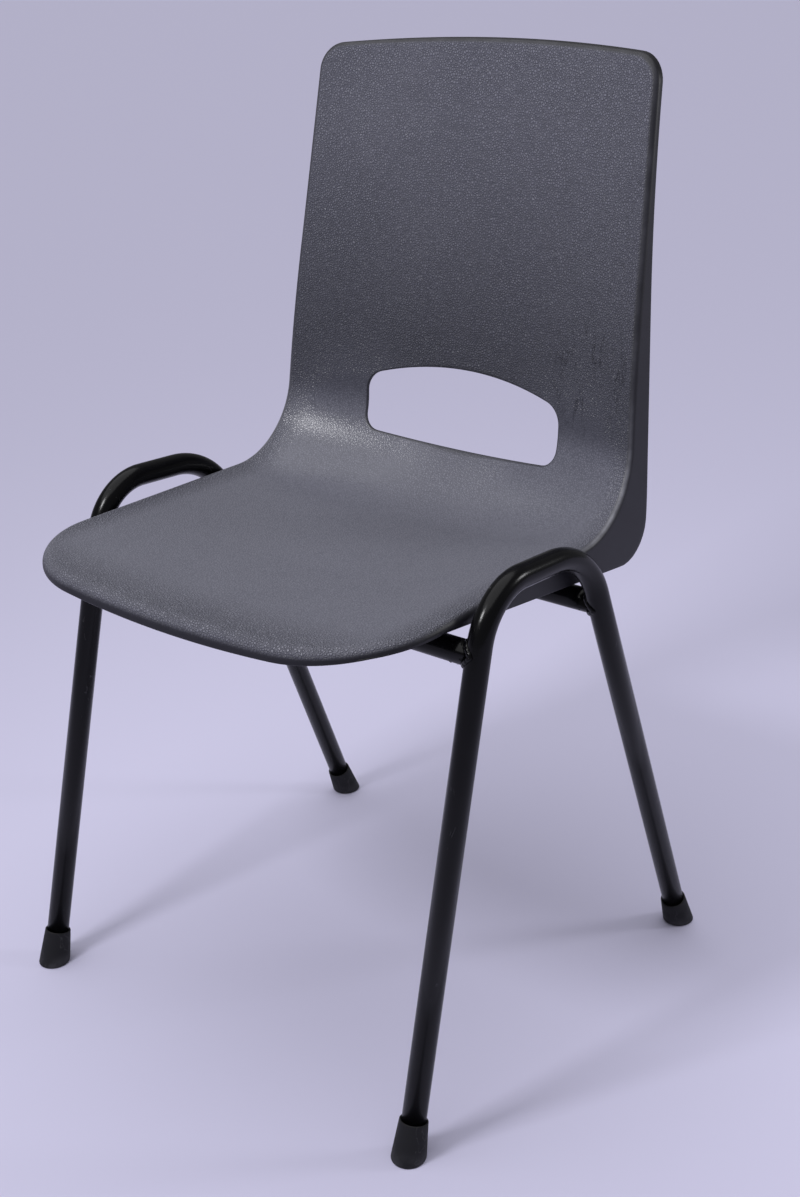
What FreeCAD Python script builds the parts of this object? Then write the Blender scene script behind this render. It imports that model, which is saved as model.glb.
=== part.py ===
import FreeCAD, Part
import math
import os
import Sketcher

# Stacking chair: a one-piece moulded shell on a welded tube frame with rubber foot caps.
# Millimetres. Z is up, the chair faces -Y, and its left and right sides mirror across X = 0.
# The origin lies on the floor, at the middle of the chair's outline.
# "Reach" is a distance ahead of the origin for front parts and behind it for rear parts.

DIMENSIONS = [
    # Side hoops, each bent from one tube, and the cross tubes between them
    ("tube_diameter", 22.0, "outer diameter of every tube"),
    ("tube_wall", 1.5, "wall of every tube"),
    ("frame_clearance", 3.2, "room between the shell's side and the top of a hoop"),
    ("splay_angle", 0.63, "degrees each hoop leans in towards the seat"),
    ("front_foot_reach", 224.7, "front foot"),
    ("rear_foot_reach", 243.4, "rear foot"),
    ("front_corner_reach", 109.3, "meeting point of the front leg's line and the top line"),
    ("front_corner_rise", 20.1, "height of that point above the seat"),
    ("rear_corner_reach", 37.1, "meeting point of the rear leg's line and the top line"),
    ("rear_corner_rise", 14.2, "height of that point above the seat"),
    ("front_bend_radius", 57.7, "centre-line radius of the hoop's front bend"),
    ("rear_bend_radius", 83.5, "centre-line radius of the hoop's rear bend"),
    ("front_cross_drop", 33.3, "axis of the front cross tube below the seat"),
    ("rear_cross_drop", 46.8, "axis of the rear cross tube below the seat"),
    ("joint_gap", 0.1, "room between a coped tube end and its leg"),
    ("weld_size", 2.6, "leg of the weld bead round each joint"),
    # Rubber foot caps
    ("cap_height", 36.0, "length of a cap along its leg"),
    ("cap_top_diameter", 26.0, "cap at its mouth"),
    ("cap_base_diameter", 31.6, "cap at the floor"),
    ("cap_floor", 7.0, "distance along the leg from the floor to the tube's end"),
    ("cap_mouth_chamfer", 0.8, "bevel round the mouth"),
    ("cap_clearance", 0.15, "room between the tube and the cap's bore"),
    # Shell outlines, from above and from the front
    ("shell_wall", 3.5, "thickness of the shell"),
    ("seat_height", 473.0, "seat above the floor, at the edge of the front lip"),
    ("seat_width", 434.0, "across the seat"),
    ("lip_reach", 257.5, "front lip"),
    ("lip_bow_radius", 2200.0, "gentle curve of the lip in plan"),
    ("lip_corner_radius", 100.0, "plan radius of the seat's front corners"),
    ("waist_rise", 12.0, "height above the seat where the back starts to narrow"),
    ("waist_radius", 900.0, "easing of the side outline at the waist"),
    ("back_taper", 3.15, "degrees each side of the back leans in"),
    ("back_rise", 424.0, "top of the back above the seat"),
    ("crest_corner_radius", 28.0, "corners of the back's top"),
    ("crest_radius", 2100.0, "gentle curve of the back's top"),
    # Side profile of the shell at its edge
    ("seat_rise", 3.5, "rise of the seat from the lip to the back"),
    ("back_reach", 137.0, "face of the back, just above the bend"),
    ("edge_bend_radius", 80.0, "bend between seat and back"),
    ("edge_low_lean", 3.4, "degrees the back leans just above the bend"),
    ("edge_lumbar_radius", 1630.0, "curve between the low and the high lean"),
    ("edge_high_lean", 8.6, "degrees the upper back leans"),
    # Side profile of the shell at its middle, which is dished
    ("lip_dish", 8.5, "depth of the dish at the lip"),
    ("seat_dish", 23.5, "depth of the dish at the back of the seat"),
    ("back_dish", 32.5, "depth of the hollow in the back"),
    ("middle_bend_radius", 90.0, "bend between seat and back"),
    ("middle_low_lean", 1.7, "degrees the back leans just above the bend"),
    ("middle_lumbar_radius", 1800.0, "curve between the low and the high lean"),
    ("middle_high_lean", 6.8, "degrees the upper back leans"),
    # Free edge of the flange that turns down and back all round the shell
    ("flange_lip_depth", 13.0, "flange at the lip, at the sides"),
    ("flange_middle_drop", 12.5, "how much further it reaches down at the middle"),
    ("flange_shallow_reach", 165.0, "place where the side flange is shallowest"),
    ("flange_shallow_depth", 7.0, "flange at that place"),
    ("flange_fall", 5.2, "degrees its edge falls from there to the back"),
    ("flange_corner_radius", 38.0, "its edge behind the bend"),
    ("flange_waist_depth", 29.2, "flange at the waist, behind the face of the back"),
    ("flange_back_lean", 1.6, "degrees its edge leans above the waist"),
    ("flange_curve_rise", 201.0, "height above the seat where it starts to curve back"),
    ("flange_crest_radius", 1500.0, "that curve, up to the top"),
    ("flange_middle_offset", 24.0, "how much further back its surface lies at the middle"),
    ("trim_margin", 25.0, "how far a raw form stands past the outline that trims it"),
    ("rim_round", 6.5, "rounding between the face and the flange"),
    # Hand hole in the back
    ("hole_width", 238.0, "across the hole"),
    ("hole_rise", 31.0, "lower edge above the seat, at its middle"),
    ("hole_height", 80.5, "lower to upper edge, at the middle"),
    ("hole_arch_radius", 382.0, "arch of the upper edge"),
    ("hole_sill_radius", 1100.0, "curve of the lower edge"),
    ("hole_top_corner", 22.0, "upper corners"),
    ("hole_sill_corner", 17.0, "lower corners"),
    # Moulded saddles under the seat and the screws that hold the shell to the frame
    ("saddle_spread", 300.0, "left saddle to right saddle, centre to centre"),
    ("saddle_length", 36.0, "saddle along its cross tube"),
    ("saddle_width", 30.0, "saddle across its cross tube"),
    ("saddle_wrap", 6.0, "how far a saddle reaches down past the top of its tube"),
    ("saddle_corner_radius", 5.0, "upright corners of a saddle"),
    ("saddle_clearance", 0.3, "room between a saddle and its tube"),
    ("screw_diameter", 5.5, "thread of a seat screw"),
    ("screw_bite", 11.0, "length of thread above the tube"),
    ("screw_clearance", 0.4, "room round a screw in its tube"),
    ("pilot_clearance", 0.1, "room round and above a screw in its saddle"),
    ("head_diameter", 10.5, "screw head"),
    ("head_height", 3.6, "screw head"),
    ("head_bevel", 1.2, "bevel round the head"),
]

document = FreeCAD.newDocument("choir_chair")
sheet = document.addObject("Spreadsheet::Sheet", "Sizes")
for row, (alias, number, meaning) in enumerate(DIMENSIONS, start=1):
    sheet.set(f"A{row}", alias)
    sheet.set(f"B{row}", str(number))
    sheet.set(f"C{row}", meaning)
    sheet.setAlias(f"B{row}", alias)
document.recompute()


def value(formula):
    """The number that a formula on the sheet gives now."""
    result = sheet.evalExpression(formula)
    return float(getattr(result, "Value", result))


# Places that several pieces share, as formulas on the sheet

TUBE_RADIUS = "Sizes.tube_diameter / 2"
HALF_SEAT = "Sizes.seat_width / 2"
CREST = "(Sizes.seat_height + Sizes.back_rise)"
FRONT_CORNER = "(Sizes.seat_height + Sizes.front_corner_rise)"
REAR_CORNER = "(Sizes.seat_height + Sizes.rear_corner_rise)"
HALF_SPREAD = (
    "(Sizes.seat_width / 2 + Sizes.frame_clearance + Sizes.tube_diameter / 2"
    f" + {FRONT_CORNER} * tan(Sizes.splay_angle * 1 deg))"
)
FRONT_RUN = "(Sizes.front_foot_reach - Sizes.front_corner_reach)"
REAR_RUN = "(Sizes.rear_foot_reach - Sizes.rear_corner_reach)"
FRONT_CROSS_HEIGHT = "(Sizes.seat_height - Sizes.front_cross_drop)"
REAR_CROSS_HEIGHT = "(Sizes.seat_height - Sizes.rear_cross_drop)"
FRONT_CROSS_Y = (
    f"(-Sizes.front_foot_reach + {FRONT_RUN} * {FRONT_CROSS_HEIGHT} / {FRONT_CORNER})"
)
REAR_CROSS_Y = (
    f"(Sizes.rear_foot_reach - {REAR_RUN} * {REAR_CROSS_HEIGHT} / {REAR_CORNER})"
)
CROSS_TUBES = {
    "front": (FRONT_CROSS_Y, FRONT_CROSS_HEIGHT),
    "rear": (REAR_CROSS_Y, REAR_CROSS_HEIGHT),
}
SIDES = {"left": 1, "right": -1}


# Helpers for bodies and sketches

def add_body(name):
    """An empty body."""
    return document.addObject("PartDesign::Body", name)


def add_sketch(body, name, plane, offset="0"):
    """A sketch on one of its body's origin planes, moved along the plane's normal."""
    sketch = body.newObject("Sketcher::SketchObject", name)
    for feature in body.Origin.OriginFeatures:
        if feature.Role == plane:
            sketch.AttachmentSupport = (feature, [""])
    sketch.MapMode = "FlatFace"
    sketch.setExpression(".AttachmentOffset.Base.z", offset)
    return sketch


def dimension(sketch, name, kind, where, formula):
    """A sketch dimension that follows a formula on the sheet; angles are in degrees."""
    if kind == "Angle":
        formula = f"({formula}) * 1 deg"
    start = value(formula)
    if kind == "Angle":
        start = math.radians(start)
    index = sketch.addConstraint(Sketcher.Constraint(kind, *where, start))
    sketch.renameConstraint(index, name)
    sketch.setExpression(f"Constraints.{name}", formula)


def locate(sketch, name, geometry, point, across, up):
    """Place a point of a sketch by formulas for its two coordinates."""
    dimension(sketch, f"{name}_across", "DistanceX", (-1, 1, geometry, point), across)
    dimension(sketch, f"{name}_up", "DistanceY", (-1, 1, geometry, point), up)


def smooth(sketch, *ends):
    """Join pairs of curve ends so that one runs on into the other without a kink."""
    for first, first_end, second, second_end in ends:
        sketch.addConstraint(
            Sketcher.Constraint("Tangent", first, first_end, second, second_end)
        )


def meet(sketch, *ends):
    """Join pairs of curve ends at a corner."""
    for first, first_end, second, second_end in ends:
        sketch.addConstraint(
            Sketcher.Constraint("Coincident", first, first_end, second, second_end)
        )


def line(start, end):
    """A straight line between two places, as a first guess for a sketch."""
    return Part.LineSegment(FreeCAD.Vector(*start, 0), FreeCAD.Vector(*end, 0))


def arc(centre, radius, first, last):
    """An arc, anticlockwise between two angles in degrees, as a first guess for a sketch."""
    circle = Part.Circle(FreeCAD.Vector(*centre, 0), FreeCAD.Vector(0, 0, 1), radius)
    return Part.ArcOfCircle(circle, math.radians(first), math.radians(last))


def polar(centre, radius, angle):
    """The place on a circle at an angle in degrees."""
    turn = math.radians(angle)
    return (centre[0] + radius * math.cos(turn), centre[1] + radius * math.sin(turn))


def mark_point(sketch, name, curve, across, up):
    """A construction point, placed by formulas, that a curve has to pass through."""
    point = Part.Point(FreeCAD.Vector(value(across), value(up), 0))
    index = sketch.addGeometry(point, True)
    locate(sketch, name, index, 1, across, up)
    sketch.addConstraint(Sketcher.Constraint("PointOnObject", index, 1, curve))


def add_circle(sketch, name, across, up, diameter):
    """A circle placed by formulas."""
    centre = FreeCAD.Vector(value(across), value(up), 0)
    circle = Part.Circle(centre, FreeCAD.Vector(0, 0, 1), value(diameter) / 2)
    index = sketch.addGeometry(circle, False)
    locate(sketch, name, index, 3, across, up)
    dimension(sketch, f"{name}_size", "Diameter", (index,), diameter)


def pad_both_ways(body, name, sketch, length):
    """Extrude a sketch to both sides of its plane."""
    pad = body.newObject("PartDesign::Pad", name)
    pad.Profile = sketch
    pad.SideType = "Symmetric"
    pad.setExpression("Length", length)
    return pad


def combine(kind, name, shapes):
    """Join or intersect several objects."""
    result = document.addObject(kind, name)
    result.Shapes = shapes
    return result


def cut(name, base, tool):
    """One object less another."""
    result = document.addObject("Part::Cut", name)
    result.Base = base
    result.Tool = tool
    return result


# Frame tubes

def bent_tube(name, side, diameter, bore=None):
    """A tube or rod along one side hoop: front foot, front bend, top, rear bend, rear foot."""
    body = add_body(name)
    path = add_sketch(body, f"{name}_path", "YZ_Plane")
    front_bend = value("Sizes.front_bend_radius")
    rear_bend = value("Sizes.rear_bend_radius")
    toe = value("Sizes.cap_floor")
    foot = (-value("Sizes.front_foot_reach"), 0)
    front = (-value("Sizes.front_corner_reach"), value(FRONT_CORNER))
    rear = (value("Sizes.rear_corner_reach"), value(REAR_CORNER))
    heel = (value("Sizes.rear_foot_reach"), 0)
    front_lean = math.degrees(math.atan2(front[0] - foot[0], front[1]))
    rear_lean = math.degrees(math.atan2(heel[0] - rear[0], rear[1]))
    front_centre = (front[0] + front_bend, front[1] - front_bend)
    rear_centre = (rear[0] - rear_bend / 2, rear[1] - rear_bend)
    front_arc = arc(front_centre, front_bend, 90, 180 - front_lean)
    rear_arc = arc(rear_centre, rear_bend, rear_lean, 90)
    front_end = polar(foot, toe, 90 - front_lean)
    rear_end = polar(heel, toe, 90 + rear_lean)
    path.addGeometry(line(front_end, polar(front_centre, front_bend, 180 - front_lean)), False)
    path.addGeometry(front_arc, False)
    path.addGeometry(line(polar(front_centre, front_bend, 90), polar(rear_centre, rear_bend, 90)))
    path.addGeometry(rear_arc, False)
    path.addGeometry(line(polar(rear_centre, rear_bend, rear_lean), rear_end), False)
    smooth(path, (0, 2, 1, 2), (1, 1, 2, 1), (2, 2, 3, 2), (3, 1, 4, 1))
    dimension(path, "front_bend", "Radius", (1,), "Sizes.front_bend_radius")
    dimension(path, "rear_bend", "Radius", (3,), "Sizes.rear_bend_radius")
    marks = {
        "foot": ("-Sizes.front_foot_reach", "0", (0,)),
        "front": ("-Sizes.front_corner_reach", FRONT_CORNER, (0, 2)),
        "rear": ("Sizes.rear_corner_reach", REAR_CORNER, (2, 4)),
        "heel": ("Sizes.rear_foot_reach", "0", (4,)),
    }
    for mark, (across, up, runs) in marks.items():
        point = Part.Point(FreeCAD.Vector(value(across), value(up), 0))
        index = path.addGeometry(point, True)
        locate(path, mark, index, 1, across, up)
        for run in runs:
            path.addConstraint(Sketcher.Constraint("PointOnObject", index, 1, run))
        if mark == "foot":
            dimension(path, "toe", "Distance", (index, 1, 0, 1), "Sizes.cap_floor")
        if mark == "heel":
            dimension(path, "tail", "Distance", (index, 1, 4, 2), "Sizes.cap_floor")
    document.recompute()
    ring = body.newObject("Sketcher::SketchObject", f"{name}_ring")
    ring.AttachmentSupport = (path, ("Edge1",))
    ring.MapMode = "NormalToEdge"
    add_circle(ring, "outside", "0", "0", diameter)
    if bore:
        add_circle(ring, "bore", "0", "0", bore)
    tube = body.newObject("PartDesign::AdditivePipe", f"{name}_sweep")
    tube.Profile = ring
    tube.Spine = (path, [])
    turn = f"{-side} * Sizes.splay_angle"
    body.setExpression(
        "Placement", f"placement(vector({side} * {HALF_SPREAD}; 0; 0); rotation(0; {turn}; 0))"
    )
    return body


BORE = "Sizes.tube_diameter - 2 * Sizes.tube_wall"
LEG_ROOM = "Sizes.tube_diameter + 2 * Sizes.joint_gap"
WELD_DIAMETER = "Sizes.tube_diameter + 2 * Sizes.weld_size"

side_frames = {}
leg_rooms = []
leg_welds = []
for side_name, side in SIDES.items():
    side_frames[side_name] = bent_tube(
        f"{side_name}_side_frame", side, "Sizes.tube_diameter", BORE
    )
    leg_rooms.append(bent_tube(f"{side_name}_leg_room", side, LEG_ROOM))
    leg_welds.append(bent_tube(f"{side_name}_leg_weld", side, WELD_DIAMETER))
leg_room = combine("Part::MultiFuse", "leg_room", leg_rooms)
leg_weld = combine("Part::MultiFuse", "leg_weld", leg_welds)


def straight_tube(name, place, diameter, bore):
    """A tube from hoop to hoop, before its ends are coped to the legs."""
    across, up = CROSS_TUBES[place]
    body = add_body(name)
    ring = add_sketch(body, f"{name}_ring", "YZ_Plane")
    add_circle(ring, "outside", across, up, diameter)
    add_circle(ring, "bore", across, up, bore)
    half = f"({HALF_SPREAD} - {up} * tan(Sizes.splay_angle * 1 deg))"
    pad_both_ways(body, f"{name}_pad", ring, f"2 * {half}")
    return body


SCREW_HOLE = "Sizes.screw_diameter + 2 * Sizes.screw_clearance"
PILOT_HOLE = "Sizes.screw_diameter + 2 * Sizes.pilot_clearance"
HALF_SADDLES = "Sizes.saddle_spread / 2"

cross_tubes = {}
beads = []
for place, (across, up) in CROSS_TUBES.items():
    body = straight_tube(f"{place}_cross_body", place, "Sizes.tube_diameter", BORE)
    document.recompute()
    holes = add_sketch(body, f"{place}_screw_holes", "XY_Plane", up)
    for side_name, side in SIDES.items():
        add_circle(holes, side_name, f"{side} * {HALF_SADDLES}", across, SCREW_HOLE)
    drill = body.newObject("PartDesign::Pocket", f"{place}_screw_pocket")
    drill.Profile = holes
    drill.SideType = "Symmetric"
    drill.setExpression("Length", "2 * Sizes.tube_diameter")
    cross_tubes[place] = cut(f"{place}_cross_tube", body, leg_room)
    collar = straight_tube(f"{place}_collar", place, WELD_DIAMETER, "Sizes.tube_diameter")
    joint = combine("Part::MultiCommon", f"{place}_joint", [collar, leg_weld])
    beads.append(cut(f"{place}_beads", joint, leg_room))
weld_beads = document.addObject("Part::Compound", "weld_beads")
weld_beads.Links = beads


# Rubber foot caps

ground = document.addObject("Part::Box", "ground")
ground.setExpression("Length", f"4 * {HALF_SPREAD}")
ground.setExpression("Width", "4 * Sizes.rear_foot_reach")
ground.setExpression("Height", "Sizes.cap_base_diameter")
ground.setExpression(
    "Placement.Base",
    f"vector(-2 * {HALF_SPREAD}; -2 * Sizes.rear_foot_reach; -Sizes.cap_base_diameter)",
)


def foot_cap(name, side, foot_y, lean):
    """A tapered cap on a leg's end, square to the leg at its mouth and flat on the floor."""
    body = add_body(f"{name}_body")
    profile = add_sketch(body, f"{name}_profile", "YZ_Plane")
    top = value("Sizes.cap_top_diameter") / 2
    base = value("Sizes.cap_base_diameter") / 2
    height = value("Sizes.cap_height")
    seat = value("Sizes.cap_floor")
    bore = value(TUBE_RADIUS) + value("Sizes.cap_clearance")
    bevel = value("Sizes.cap_mouth_chamfer")
    corners = [
        (0, -base),
        (base, -base),
        (top, height - bevel),
        (top - bevel, height),
        (bore, height),
        (bore, seat),
        (0, seat),
    ]
    for start, end in zip(corners, corners[1:] + corners[:1]):
        profile.addGeometry(line(start, end), False)
    meet(profile, *[(index, 2, (index + 1) % len(corners), 1) for index in range(len(corners))])
    for index in (0, 3, 5):
        profile.addConstraint(Sketcher.Constraint("Horizontal", index))
    for index in (4, 6):
        profile.addConstraint(Sketcher.Constraint("Vertical", index))
    profile.addConstraint(Sketcher.Constraint("PointOnObject", 0, 1, -2))
    girth = profile.addGeometry(Part.Point(FreeCAD.Vector(base, 0, 0)), True)
    profile.addConstraint(Sketcher.Constraint("PointOnObject", girth, 1, 1))
    locate(profile, "girth", girth, 1, "Sizes.cap_base_diameter / 2", "0")
    side_top = "Sizes.cap_height - Sizes.cap_mouth_chamfer"
    mouth = "Sizes.cap_top_diameter / 2 - Sizes.cap_mouth_chamfer"
    locate(profile, "side_top", 1, 2, "Sizes.cap_top_diameter / 2", side_top)
    locate(profile, "mouth", 2, 2, mouth, "Sizes.cap_height")
    locate(profile, "bore", 5, 1, f"{TUBE_RADIUS} + Sizes.cap_clearance", "Sizes.cap_floor")
    dimension(profile, "below", "DistanceY", (0, 1, -1, 1), "Sizes.cap_base_diameter / 2")
    turned = body.newObject("PartDesign::Revolution", f"{name}_turned")
    turned.Profile = profile
    turned.ReferenceAxis = (profile, ["V_Axis"])
    turned.Angle = 360
    body.setExpression(
        "Placement",
        f"placement(vector({side} * {HALF_SPREAD}; {foot_y}; 0);"
        f" rotation(0; {-side} * Sizes.splay_angle; {lean}))",
    )
    return cut(name, body, ground)


FRONT_LEAN = f"-atan2({FRONT_RUN}; {FRONT_CORNER})"
REAR_LEAN = f"atan2({REAR_RUN}; {REAR_CORNER})"
foot_caps = []
for side_name, side in SIDES.items():
    foot_caps.append(
        foot_cap(f"foot_cap_front_{side_name}", side, "-Sizes.front_foot_reach", FRONT_LEAN)
    )
    foot_caps.append(
        foot_cap(f"foot_cap_rear_{side_name}", side, "Sizes.rear_foot_reach", REAR_LEAN)
    )


# Moulded shell
# Side profiles at both edges and at the middle are lofted into one raw block.
# Its front and upper surface is the face you sit on, and its rear and lower surface is the
# flange's free edge. The plan and front outlines then trim it, and the rim is rounded.
# The same form, moved in by the wall, is taken out again from below and behind.

EDGE = {
    "lip": "Sizes.seat_height",
    "bend_foot": "(Sizes.seat_height + Sizes.seat_rise)",
    "back": "Sizes.back_reach",
    "bend_radius": "Sizes.edge_bend_radius",
    "low_lean": "Sizes.edge_low_lean",
    "lumbar_radius": "Sizes.edge_lumbar_radius",
    "high_lean": "Sizes.edge_high_lean",
    "drop": "0",
    "offset": "0",
}
MIDDLE = {
    "lip": "(Sizes.seat_height - Sizes.lip_dish)",
    "bend_foot": "(Sizes.seat_height + Sizes.seat_rise - Sizes.seat_dish)",
    "back": "(Sizes.back_reach + Sizes.back_dish)",
    "bend_radius": "Sizes.middle_bend_radius",
    "low_lean": "Sizes.middle_low_lean",
    "lumbar_radius": "Sizes.middle_lumbar_radius",
    "high_lean": "Sizes.middle_high_lean",
    "drop": "Sizes.flange_middle_drop",
    "offset": "Sizes.flange_middle_offset",
}


def side_profile(body, name, station, form, inset, opened):
    """The closed side profile at one station across the chair.

    inset moves the face towards the wall's inside, and opened moves the free edge out.
    """
    sketch = add_sketch(body, name, "YZ_Plane", station)
    drop = f"({form['drop']} + {opened})"
    offset = f"({form['offset']} + {opened})"
    front = "(-Sizes.lip_reach - Sizes.trim_margin)"
    high = f"({CREST} + Sizes.trim_margin)"
    bend_radius = f"({form['bend_radius']} + {inset})"
    lumbar_radius = f"({form['lumbar_radius']} - {inset})"
    centre_y = f"({form['back']} - {form['bend_radius']})"
    centre_z = f"({form['bend_foot']} + {form['bend_radius']})"
    lip_z = f"({form['lip']} - {inset})"
    waist_y = f"(Sizes.back_reach + Sizes.flange_waist_depth + {offset})"
    waist_z = "(Sizes.seat_height + Sizes.waist_rise)"
    curve_z = "(Sizes.seat_height + Sizes.flange_curve_rise)"
    shallow_z = f"(Sizes.seat_height - Sizes.flange_shallow_depth - {drop})"
    edge_z = f"(Sizes.seat_height - Sizes.flange_lip_depth - {drop})"

    # First guess, from the bend's centre round the outline
    low = value(form["low_lean"])
    lean = value(form["high_lean"])
    edge_lean = value("Sizes.flange_back_lean")
    fall = value("Sizes.flange_fall")
    bend_centre = (value(centre_y), value(centre_z))
    bend = value(bend_radius)
    lumbar = value(lumbar_radius)
    lumbar_centre = polar(bend_centre, bend + lumbar, -low)
    lip = (value(front), value(lip_z))
    bend_start = polar(bend_centre, bend, -90)
    lumbar_end = polar(lumbar_centre, lumbar, 180 - lean)
    run = value(high) - lumbar_end[1]
    top = (lumbar_end[0] + run * math.tan(math.radians(lean)), value(high))
    curve = value("Sizes.flange_crest_radius")
    rise = value(curve_z) - value(waist_z)
    curve_start = (
        value(waist_y) + rise * math.tan(math.radians(edge_lean)),
        value(curve_z),
    )
    curve_centre = polar(curve_start, curve, -edge_lean)
    curve_lean = edge_lean + math.degrees((value(high) - value(curve_z)) / curve)
    rear_top = polar(curve_centre, curve, 180 - curve_lean)
    corner = value("Sizes.flange_corner_radius")
    shallow = (-value("Sizes.flange_shallow_reach"), value(shallow_z))
    length = value(waist_y) - corner - shallow[0]
    corner_centre = (
        value(waist_y) - corner,
        shallow[1] - length * math.tan(math.radians(fall)) + corner,
    )
    corner_low = polar(corner_centre, corner, -90 - fall)
    corner_high = polar(corner_centre, corner, -edge_lean)
    outline = [
        line(lip, bend_start),
        arc(bend_centre, bend, -90, -low),
        arc(lumbar_centre, lumbar, 180 - lean, 180 - low),
        line(lumbar_end, top),
        line(top, rear_top),
        arc(curve_centre, curve, 180 - curve_lean, 180 - edge_lean),
        line(corner_high, curve_start),
        arc(corner_centre, corner, -90 - fall, -edge_lean),
        line(shallow, corner_low),
        line((lip[0], value(edge_z)), shallow),
        line((lip[0], value(edge_z)), lip),
    ]
    seat_run, bend_arc, lumbar_arc, back_run, crest_run = range(5)
    curve_arc, rear_run, corner_arc, under_run, lip_run, front_run = range(5, 11)
    for curve_piece in outline:
        sketch.addGeometry(curve_piece, False)
    smooth(
        sketch,
        (seat_run, 2, bend_arc, 1),
        (bend_arc, 2, lumbar_arc, 2),
        (lumbar_arc, 1, back_run, 1),
        (curve_arc, 2, rear_run, 2),
        (rear_run, 1, corner_arc, 2),
        (corner_arc, 1, under_run, 2),
    )
    meet(
        sketch,
        (back_run, 2, crest_run, 1),
        (crest_run, 2, curve_arc, 1),
        (under_run, 1, lip_run, 2),
        (lip_run, 1, front_run, 1),
        (front_run, 2, seat_run, 1),
    )
    sketch.addConstraint(Sketcher.Constraint("Horizontal", crest_run))
    sketch.addConstraint(Sketcher.Constraint("Vertical", front_run))

    # The face: seat, bend, lumbar curve and upper back
    locate(sketch, "bend_centre", bend_arc, 3, centre_y, centre_z)
    dimension(sketch, "bend_radius", "Radius", (bend_arc,), bend_radius)
    dimension(sketch, "lumbar_radius", "Radius", (lumbar_arc,), lumbar_radius)
    spoke = sketch.addGeometry(line(bend_centre, polar(bend_centre, bend, -low)), True)
    meet(sketch, (spoke, 1, bend_arc, 3), (spoke, 2, bend_arc, 2))
    dimension(sketch, "low_lean", "Angle", (spoke,), f"-{form['low_lean']}")
    dimension(sketch, "high_lean", "Angle", (back_run,), f"90 - {form['high_lean']}")
    dimension(sketch, "top", "DistanceY", (-1, 1, back_run, 2), high)
    dimension(sketch, "front", "DistanceX", (-1, 1, seat_run, 1), front)
    mark_point(sketch, "lip", seat_run, "-Sizes.lip_reach", lip_z)

    # The free edge: crest, back, corner, underside and lip
    dimension(sketch, "curve_radius", "Radius", (curve_arc,), "Sizes.flange_crest_radius")
    dimension(sketch, "curve_height", "DistanceY", (-1, 1, curve_arc, 2), curve_z)
    dimension(sketch, "edge_lean", "Angle", (rear_run,), "90 - Sizes.flange_back_lean")
    mark_point(sketch, "waist", rear_run, waist_y, waist_z)
    dimension(sketch, "corner_radius", "Radius", (corner_arc,), "Sizes.flange_corner_radius")
    dimension(sketch, "fall", "Angle", (under_run,), "-Sizes.flange_fall")
    locate(sketch, "shallow", under_run, 1, "-Sizes.flange_shallow_reach", shallow_z)
    mark_point(sketch, "edge", lip_run, "-Sizes.lip_reach", edge_z)
    return sketch


def side_form(name, inset, opened):
    """The raw block: side profiles at both edges and at the middle, lofted together."""
    body = add_body(f"{name}_side")
    stations = {"right": f"-{HALF_SEAT}", "middle": "0", "left": HALF_SEAT}
    profiles = []
    for place, station in stations.items():
        form = MIDDLE if place == "middle" else EDGE
        profiles.append(side_profile(body, f"{name}_{place}", station, form, inset, opened))
    loft = body.newObject("PartDesign::AdditiveLoft", f"{name}_loft")
    loft.Profile = profiles[0]
    loft.Sections = profiles[1:]
    loft.Ruled = False
    return body


def plan_form(name, inset):
    """The seat's outline from above: straight sides, round corners, gently bowed lip."""
    body = add_body(f"{name}_plan")
    sketch = add_sketch(body, f"{name}_plan_outline", "XY_Plane")
    half = f"({HALF_SEAT} - {inset})"
    bow = f"(Sizes.lip_bow_radius - {inset})"
    corner = f"(Sizes.lip_corner_radius - {inset})"
    lip_y = f"(-Sizes.lip_reach + {inset})"
    wide = value(half)
    radius = value(corner)
    lip = value(lip_y)
    rear = value("Sizes.rear_foot_reach")
    centre_y = lip + radius
    bow_centre = (0, lip + value(bow))
    tilt = math.degrees(math.asin((wide - radius) / (value(bow) - radius)))
    outline = [
        line((wide, rear), (wide, centre_y)),
        arc((wide - radius, centre_y), radius, -90 + tilt, 0),
        arc(bow_centre, value(bow), -90 - tilt, -90 + tilt),
        arc((radius - wide, centre_y), radius, 180, 270 - tilt),
        line((-wide, centre_y), (-wide, rear)),
        line((-wide, rear), (wide, rear)),
    ]
    for curve_piece in outline:
        sketch.addGeometry(curve_piece, False)
    smooth(sketch, (0, 2, 1, 2), (1, 1, 2, 2), (2, 1, 3, 2), (3, 1, 4, 1))
    meet(sketch, (4, 2, 5, 1), (5, 2, 0, 1))
    for index in (0, 4):
        sketch.addConstraint(Sketcher.Constraint("Vertical", index))
    sketch.addConstraint(Sketcher.Constraint("Horizontal", 5))
    dimension(sketch, "left", "DistanceX", (-1, 1, 0, 1), half)
    dimension(sketch, "right", "DistanceX", (-1, 1, 4, 2), f"-{half}")
    dimension(sketch, "rear", "DistanceY", (-1, 1, 0, 1), "Sizes.rear_foot_reach")
    dimension(sketch, "left_corner", "Radius", (1,), corner)
    dimension(sketch, "right_corner", "Radius", (3,), corner)
    dimension(sketch, "bow", "Radius", (2,), bow)
    sketch.addConstraint(Sketcher.Constraint("PointOnObject", 2, 3, -2))
    dimension(sketch, "bow_centre", "DistanceY", (-1, 1, 2, 3), f"{lip_y} + {bow}")
    pad = body.newObject("PartDesign::Pad", f"{name}_plan_pad")
    pad.Profile = sketch
    pad.setExpression("Length", f"{CREST} + 2 * Sizes.trim_margin")
    return body


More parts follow.
